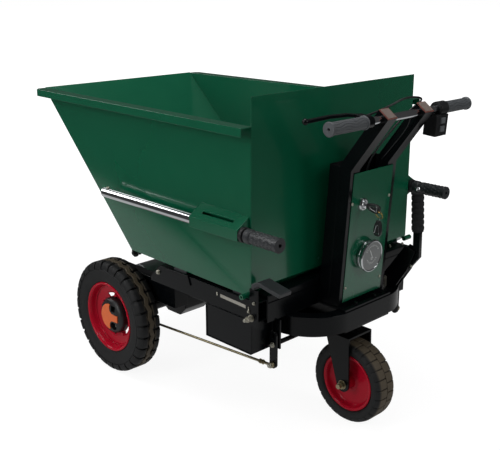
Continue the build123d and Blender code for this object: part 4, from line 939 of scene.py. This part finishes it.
dressed("brake_rods", yellow_zinc, "zinc", 0.5)
dressed("drive_motor", cast_aluminium, "aluminium", 3.0)
linkage = []
rod_ends = []
for side, out in ((1, LEFT), (-1, RIGHT)):
    rear, front = [Vector((end.x, side * end.y, end.z)) for end in BRAKE_ROD]
    run = (front - rear).normalized()
    rod_ends += [along(lathe(NUT, 6), rear + run * reach, run) for reach in LOCK_NUTS]
    for turn in range(THREAD_TURNS):
        start = THREAD_START + THREAD_PITCH * turn
        ridge = lathe([(3.9, start), (4.35, start + 0.5), (3.9, start + 1.0)], 20)
        rod_ends.append(along(ridge, rear, run))
    linkage += [(at(x, side * y, z), out, size) for x, y, z, size in CLEVIS_BOLTS]
finished(joined("brake_rod_ends", yellow_zinc, *rod_ends, crease=30), "chassis", "zinc")
latch_stud = joined("latch_stud", zinc_plate, *[lathe(*row) for row in STUD], crease=30)
latch_stud.data.transform(Matrix.Translation(STUD_PLACE))
finished(latch_stud, "chassis", "zinc")
linkage += [(at(x, LATCH_FACE_Y, z), LEFT, 0.6) for x, z in LATCH_BOLTS]
fasteners("linkage_bolts", "chassis", "zinc", hex_bolt, zinc_plate, linkage)

# Control column
# A green panel on four screws in the black housing, with a chromed key switch and a round gauge.
# The column leans back, so its pieces are placed in its own x, y and z from the middle of its foot.
COLUMN_FRAME = Matrix.Translation(at(-829, 0, 408)) @ Matrix.Rotation(radians(-4.04), 4, "Y")
BACKWARD = COLUMN_FRAME.to_3x3() @ Vector((-1, 0, 0))
PANEL_FACE = -2.0
PANEL_SCREWS = [(88, 318), (-85, 314), (84, 57), (-80, 53)]
LOCK_PLACE = (PANEL_FACE, 42.0, 311.0)
LOCK_OUTLINE = [
    (0, 0), (18.6, 0), (18.6, 4.6), (16.8, 7.4), (13.8, 7.8), (12.6, 6.4), (10.6, 6.4), (9.8, 9.4),
    (7.4, 9.8), (6.6, 8.2), (0, 8.2),
]


def on_column(x, y, z):
    """A place in the leaning column's own millimetres, in the frame's metres."""
    return COLUMN_FRAME @ metres(x, y, z)


def turned(name, outline, corners, start, direction, finish, crease=50):
    """A turned piece that runs in a direction from a place."""
    return as_object(name, along(lathe(outline, corners), start, direction), finish, crease)


def tube(name, places, radius, finish, cyclic=False, order=3):
    """A round wire or hose, radius in mm, on a smooth curve steered by places in metres."""
    curve = bpy.data.curves.new(name, "CURVE")
    curve.dimensions = "3D"
    curve.bevel_depth = radius / 1000
    curve.bevel_resolution = 3
    curve.use_fill_caps = not cyclic
    line = curve.splines.new("NURBS")
    line.points.add(len(places) - 1)
    for point, place in zip(line.points, places):
        point.co = (*place, 1)
    line.order_u = order
    line.use_endpoint_u = not cyclic
    line.use_cyclic_u = cyclic
    line.resolution_u = 6
    bent = bpy.data.objects.new(name, curve)
    add_to_scene(bent)
    shape = bmesh.new()
    shape.from_mesh(as_shown(bent))
    bpy.data.objects.remove(bent)
    bmesh.ops.recalc_face_normals(shape, faces=shape.faces)
    return as_object(name, shape, finish)


dressed("column_panel", green_enamel, "green_paint", 0.5)
panel_screws = [(on_column(PANEL_FACE, y, z), BACKWARD, 0.7) for y, z in PANEL_SCREWS]
fasteners("panel_screws", "chassis", "zinc", round_head, zinc_plate, panel_screws)

lock = turned("key_switch", LOCK_OUTLINE, 64, on_column(*LOCK_PLACE), BACKWARD, chrome, 30)
finished(rounded(lock, 0.4), "chassis", "chrome", "key_lock")

FOB = [
    (-6, 0), (6, 0), (11, 12), (13.5, 28), (12.5, 40), (7, 47), (-7, 47), (-12.5, 40),
    (-13.5, 28), (-11, 12),
]
FOB_INLAY = [(-3.6, 14), (3.6, 14), (8, 38), (-8, 38)]
FOB_THICKNESS = 9.0
KEY_BLADE = 9.0
KEY_DROOP = radians(-4)
# the hanging key, its stem, and the ring's middle and its reach either way
HANG_PLACE = (-64.0, 40.0, 277.0)
STEM_PLACE = (-64.0, 40.0, 281.0)
RING_MIDDLE = (-64.0, 41.0, 294.0)
RING_REACH = (12.0, 5.0, 11.0)
RING_STEPS = 10
brass = surface("brass_wire", ("#b08a3e", "#c8a558"), 5, (0.2, 0.32), 0.8, 0.005, Metallic=1.0)
_, lock_y, lock_z = LOCK_PLACE
lock_face = LOCK_OUTLINE[-1][1] - PANEL_FACE
key_start = metres(-lock_face - KEY_BLADE, lock_y, lock_z)
first_key = Matrix.Translation(key_start) @ Matrix.Rotation(KEY_DROOP, 4, "Y")
# the fob's own x is its width and its y its length: the first key sticks out, the second hangs
sticking_out = first_key @ Matrix(((0, -1, 0, 0), (0, 0, -1, 0), (1, 0, 0, 0), (0, 0, 0, 1)))
hanging = Matrix.Translation(metres(*HANG_PLACE)) @ Matrix(
    ((1, 0, 0, 0), (0, 0, -1, 0), (0, -1, 0, 0), (0, 0, 0, 1))
)
for word, place in (("first", sticking_out), ("second", hanging)):
    whole = COLUMN_FRAME @ place
    across = (whole.to_3x3() @ Vector((0, 0, 1))).normalized()
    corners = [whole @ metres(x, y, -FOB_THICKNESS / 2) for x, y in FOB]
    fob = plate(f"key_fob_{word}", corners, FOB_THICKNESS, across, black_abs, 2.2)
    finished(fob, "chassis", "black_plastic")
    for face, which in ((-1, "near"), (1, "far")):
        line = [whole @ metres(x, y, face * FOB_THICKNESS / 2) for x, y in FOB_INLAY]
        inlay = tube(f"fob_inlay_{word}_{which}", line, 0.9, chrome, cyclic=True, order=2)
        finished(inlay, "chassis", "chrome")
blade = ((-lock_face - KEY_BLADE / 2 + 1, lock_y, lock_z), (KEY_BLADE + 4, 1.8, 7.5), 0)
stem = (STEM_PLACE, (4.0, 1.8, 10.0), 0)
finished(boxes("key_blades", COLUMN_FRAME, [blade, stem], chrome, 0.3), "chassis", "chrome")
ring_line = []
for step in range(RING_STEPS):
    angle = tau * step / RING_STEPS
    rows = zip(RING_MIDDLE, RING_REACH, (cos(angle), sin(angle), sin(angle)))
    ring_line.append(on_column(*[middle + reach * share for middle, reach, share in rows]))
finished(tube("key_ring", ring_line, 1.3, brass, cyclic=True), "chassis", "chrome")

GAUGE_Z = 146.0
GAUGE_BODY = [
    (0, 0), (43, 0), (45.5, 2), (45.5, 8), (44, 9), (44, 13.5), (48.2, 15), (50, 17.5),
    (50, 22), (48.4, 24.4), (46.4, 25), (44.6, 24.2), (44, 22.4), (0, 22.4),
]
DIAL_HEIGHT = 22.5
DIAL = [(0, 0), (44, 0), (44, 0.4), (0, 0.4)]
# the two scales of plain strokes: radius, first angle, last angle, count
SCALES = [(33, 35, 145, 11), (22, 205, 335, 9)]
LONG_STROKE = 7.0
SHORT_STROKE = 4.0
# the pointer and two dashes: y, height over the dial's middle, length, width, turn
POINTERS = [(5, 9, 26, 1.2, 60), (0, -5, 12, 1, 0), (0, -10, 8, 1, 0)]
MARK_X = PANEL_FACE - DIAL_HEIGHT - DIAL[-1][1]
MARK_DEPTH = 0.3
dial_grey = surface(
    "grey_dial_under_glass", ("#4c5050", "#5d6160"), 40, (0.3, 0.4), 6, 0.001,
    IOR=1.5, Coat_Weight=1.0, Coat_Roughness=0.02,
)
white_ink = surface("white_dial_print", ("#d5d7d6", "#e4e6e5"), 20, (0.4, 0.5), 3, 0.001, IOR=1.5)
gauge = turned("gauge_case", GAUGE_BODY, 96, on_column(PANEL_FACE, 0, GAUGE_Z), BACKWARD, chrome, 30)
finished(rounded(gauge, 0.5), "chassis", "chrome", "battery_gauge")
dial_place = on_column(PANEL_FACE - DIAL_HEIGHT, 0, GAUGE_Z)
finished(turned("gauge_dial", DIAL, 96, dial_place, BACKWARD, dial_grey), "chassis", "grey_plastic")
marks = []
for radius, first, last, strokes in SCALES:
    for stroke in range(strokes):
        angle = radians(first + (last - first) * stroke / (strokes - 1))
        length = SHORT_STROKE if stroke % 5 else LONG_STROKE
        centre = (MARK_X, radius * cos(angle), GAUGE_Z + radius * sin(angle))
        marks.append((centre, (MARK_DEPTH, length, 0.9), degrees(angle)))
for y, rise, length, width, turn in POINTERS:
    marks.append(((MARK_X, y, GAUGE_Z + rise), (MARK_DEPTH, length, width), turn))
finished(boxes("gauge_marks", COLUMN_FRAME, marks, white_ink, 0), "chassis", "grey_plastic")

# Handlebar
# A chromed steel bar through the arms, with grey rubber grips in a waved pattern, the black brake
# lever and its cable on the left, and the throttle with its switch box on the right.
BAR_X, BAR_Z = -80.4, 580.2
BAR_END = 311.0
GRIP_LENGTHS = {"left": 138.0, "right": 118.0}
GRIP_RADIUS = 17.2
GROOVES = 14
GROOVE_DEPTH = 1.8
GROOVE_WIDTH = 0.42
WAVE_SWING = 1.3
WAVE_RUN = 11.0
GRIP_COLLAR = [(11.05, 0), (18.6, 0), (19.4, 1), (19.4, 5), (18.6, 6), (16.4, 7)]
GRIP_ROW = 2.2
# the flange and the hole in it: radius, distance past the grip's length
GRIP_FLANGE = [
    (16.2, -2), (18.4, 0), (19.6, 1.2), (19.6, 4.8), (18.4, 6), (4.6, 6), (3.7, 5), (3.7, 1),
    (11.05, 0),
]
grey_rubber = surface("moulded_grey_rubber", ("#3c3f42", "#4a4d50"), 20, (0.5, 0.62), 0.9, 0.03, IOR=1.5)
dressed("handlebar", chrome, "chrome", 0.4)
dressed("brake_lever", black_enamel, "black_plastic", 1.8)
dressed("throttle_switch", black_abs, "black_plastic", 2.2)


def waved(angle, radius, run):
    """How far a place on the grip's ribbed stretch sinks into one of its waved grooves."""
    if abs(radius - GRIP_RADIUS) > 0.5:
        return 0.0
    across = abs(sin(GROOVES * angle / 2 + WAVE_SWING * sin(run / WAVE_RUN)))
    return -GROOVE_DEPTH * max(0.0, 1 - across / GROOVE_WIDTH)


def grip_shape(length):
    """A grip about Y: a plain collar, a waved stretch and a flanged end with a hole."""
    rows = int((length - 14) / GRIP_ROW)
    stretch = [(GRIP_RADIUS, 8 + (length - 12) * row / rows) for row in range(rows + 1)]
    flange = [(radius, length + past) for radius, past in GRIP_FLANGE]
    shape = lathe(GRIP_COLLAR + stretch + flange, 144)
    for vertex in shape.verts:
        radius = hypot(vertex.co.x, vertex.co.z)
        sunk = waved(atan2(vertex.co.z, vertex.co.x), radius * 1000, vertex.co.y * 1000) / 1000
        if sunk:
            vertex.co.x *= (radius + sunk) / radius
            vertex.co.z *= (radius + sunk) / radius
    return shape


grips = []
for side, word in SIDES:
    start = on_column(BAR_X, side * (BAR_END - GRIP_LENGTHS[word]), BAR_Z)
    grips.append(along(grip_shape(GRIP_LENGTHS[word]), start, (0.0001, side, 0)))
finished(joined("waved_grips", grey_rubber, *grips, crease=45), "chassis", "rubber", "handlebar_grips")

BALL_PLACE = (BAR_X + 56.3, BAR_END + 31, BAR_Z + 12)
ROCKERS = [(BAR_X - 22.5, -165, 550), (BAR_X - 22.5, -165, 526)]
ROCKER_SIZE = (6, 20, 17)
ball = bmesh.new()
bmesh.ops.create_uvsphere(ball, u_segments=24, v_segments=16, radius=0.0085)
ball.transform(Matrix.Translation(on_column(*BALL_PLACE)))
finished(as_object("lever_ball_end", ball, black_enamel), "chassis", "black_plastic")
grey_abs = surface("moulded_grey_plastic", ("#4b4e50", "#5a5d60"), 12, (0.4, 0.5), 0.8, 0.01, IOR=1.5)
rockers = [(place, ROCKER_SIZE, 0) for place in ROCKERS]
finished(boxes("switch_rockers", COLUMN_FRAME, rockers, grey_abs, 1.6), "chassis", "grey_plastic")

CABLE = [
    (-52.4, 146.7, 588.2), (-52.4, 126.7, 588.2), (-52.4, 33, 602.7), (-60.4, -33, 625.2),
    (-60.4, -130, 611.7), (-52.4, -57, 580.2), (49.5, -33, 423), (49.5, -33, 378),
]
SWITCH_WIRE = [(-74, -44, 568), (-66, -50, 548), (-52, -56, 524), (-20, -60, 480), (20, -60, 424)]
cable = tube("brake_cable_hose", [on_column(*place) for place in CABLE], 3.0, black_abs)
finished(cable, "chassis", "black_plastic", "brake_cable")
wire = tube("switch_wire", [on_column(*place) for place in SWITCH_WIRE], 1.4, black_abs)
finished(wire, "chassis", "black_plastic")

CAP_X, CAP_Z = -89.25, 594.1
CAP_LEAN = radians(32.56)
CAP_SEAT = 3.0
# the top's corners: distance along the lean, distance from the middle
CAP_CORNERS = [(-17.5, 68.5), (17.5, 68.5), (17.5, 103.5), (-17.5, 103.5)]
cap_brown = surface("reddish_brown_cap", ("#5a2a20", "#6e372a"), 12, (0.45, 0.6), 1.2, 0.03, IOR=1.5)
cap_grey = surface("weathered_cap_top", ("#5f534d", "#6f625b"), 16, (0.55, 0.7), 1.2, 0.03, IOR=1.5)
dressed("arm_caps", cap_brown, "brown_plastic", 0.7)
cap_rise = Vector((-sin(CAP_LEAN), 0, cos(CAP_LEAN)))
cap_run = Vector((cos(CAP_LEAN), 0, sin(CAP_LEAN)))
for side, word in SIDES:
    seats = [Vector((CAP_X, side * y, CAP_Z)) + cap_rise * CAP_SEAT + cap_run * run for run, y in CAP_CORNERS]
    corners = [on_column(*seat) for seat in seats]
    top = plate(f"arm_cap_top_{word}", corners, 0.8, COLUMN_FRAME.to_3x3() @ cap_rise, cap_grey, 0.3)
    finished(top, "chassis", "brown_plastic")

# Parking brake
# A pressed bracket on the U frame holds a lever with a ribbed foam grip and a bright release button.
# Its pull spring hooks into the frame.
FOAM_START = at(-902, -175, 597)
FOAM_END = at(-893.5, -175, 722)
FOAM_LENGTH = 125.0
FOAM_RINGS = 6
FOAM_PITCH = (FOAM_LENGTH - 12) / FOAM_RINGS
# a ring of the foam: radius, share of the pitch
FOAM_RING = [(16.6, 0), (18.9, 0.2), (19.6, 0.5), (18.9, 0.85)]
# the foam's end: radius, distance past its length
FOAM_END_BAND = [(17, -8.6), (20.4, -6.5), (20.4, -1.6), (18.4, 0), (6.1, 0)]
BUTTON = [(0, 1), (7.4, 1), (7.4, 13), (6.2, 14.6), (0, 14.9)]
BRACKET_FACE_Y = -161
PARK_BOLTS = [(-812, 534), (-858, 553), (-894, 488)]
SPRING_FOOT = (-808, -150, 401)
SPRING_LENGTH = 34
SPRING_RADIUS = 4.0
SPRING_TURNS = 9
TURN_STEPS = 8

foam_outline = [(6.1, 0.0), (14.0, 0.0), (17.6, 1.6)]
for ring in range(FOAM_RINGS):
    foam_outline += [(radius, 3 + FOAM_PITCH * (ring + share)) for radius, share in FOAM_RING]
foam_outline += [(radius, FOAM_LENGTH + past) for radius, past in FOAM_END_BAND]
foam = surface("black_foam_rubber", ("#141516", "#1d1e20"), 10, (0.8, 0.92), 0.7, 0.06, IOR=1.4)
foam_run = FOAM_END - FOAM_START
grip = turned("foam_grip", foam_outline, 64, FOAM_START, foam_run, foam, 60)
finished(grip, "chassis", "rubber", "parking_brake_grip")
finished(turned("release_button", BUTTON, 40, FOAM_END, foam_run, chrome), "chassis", "chrome")
park_bolts = [(at(x, BRACKET_FACE_Y, z), LEFT, 0.65) for x, z in PARK_BOLTS]
fasteners("parking_brake_bolts", "chassis", "zinc", round_head, zinc_plate, park_bolts)
spring = []
for step in range(SPRING_TURNS * TURN_STEPS + 1):
    angle = tau * step / TURN_STEPS
    x, y, z = SPRING_FOOT
    rise = SPRING_LENGTH * step / (SPRING_TURNS * TURN_STEPS)
    spring.append(at(x + SPRING_RADIUS * cos(angle), y + SPRING_RADIUS * sin(angle), z + rise))
finished(tube("pull_spring", spring, 0.8, zinc_plate), "chassis", "zinc")
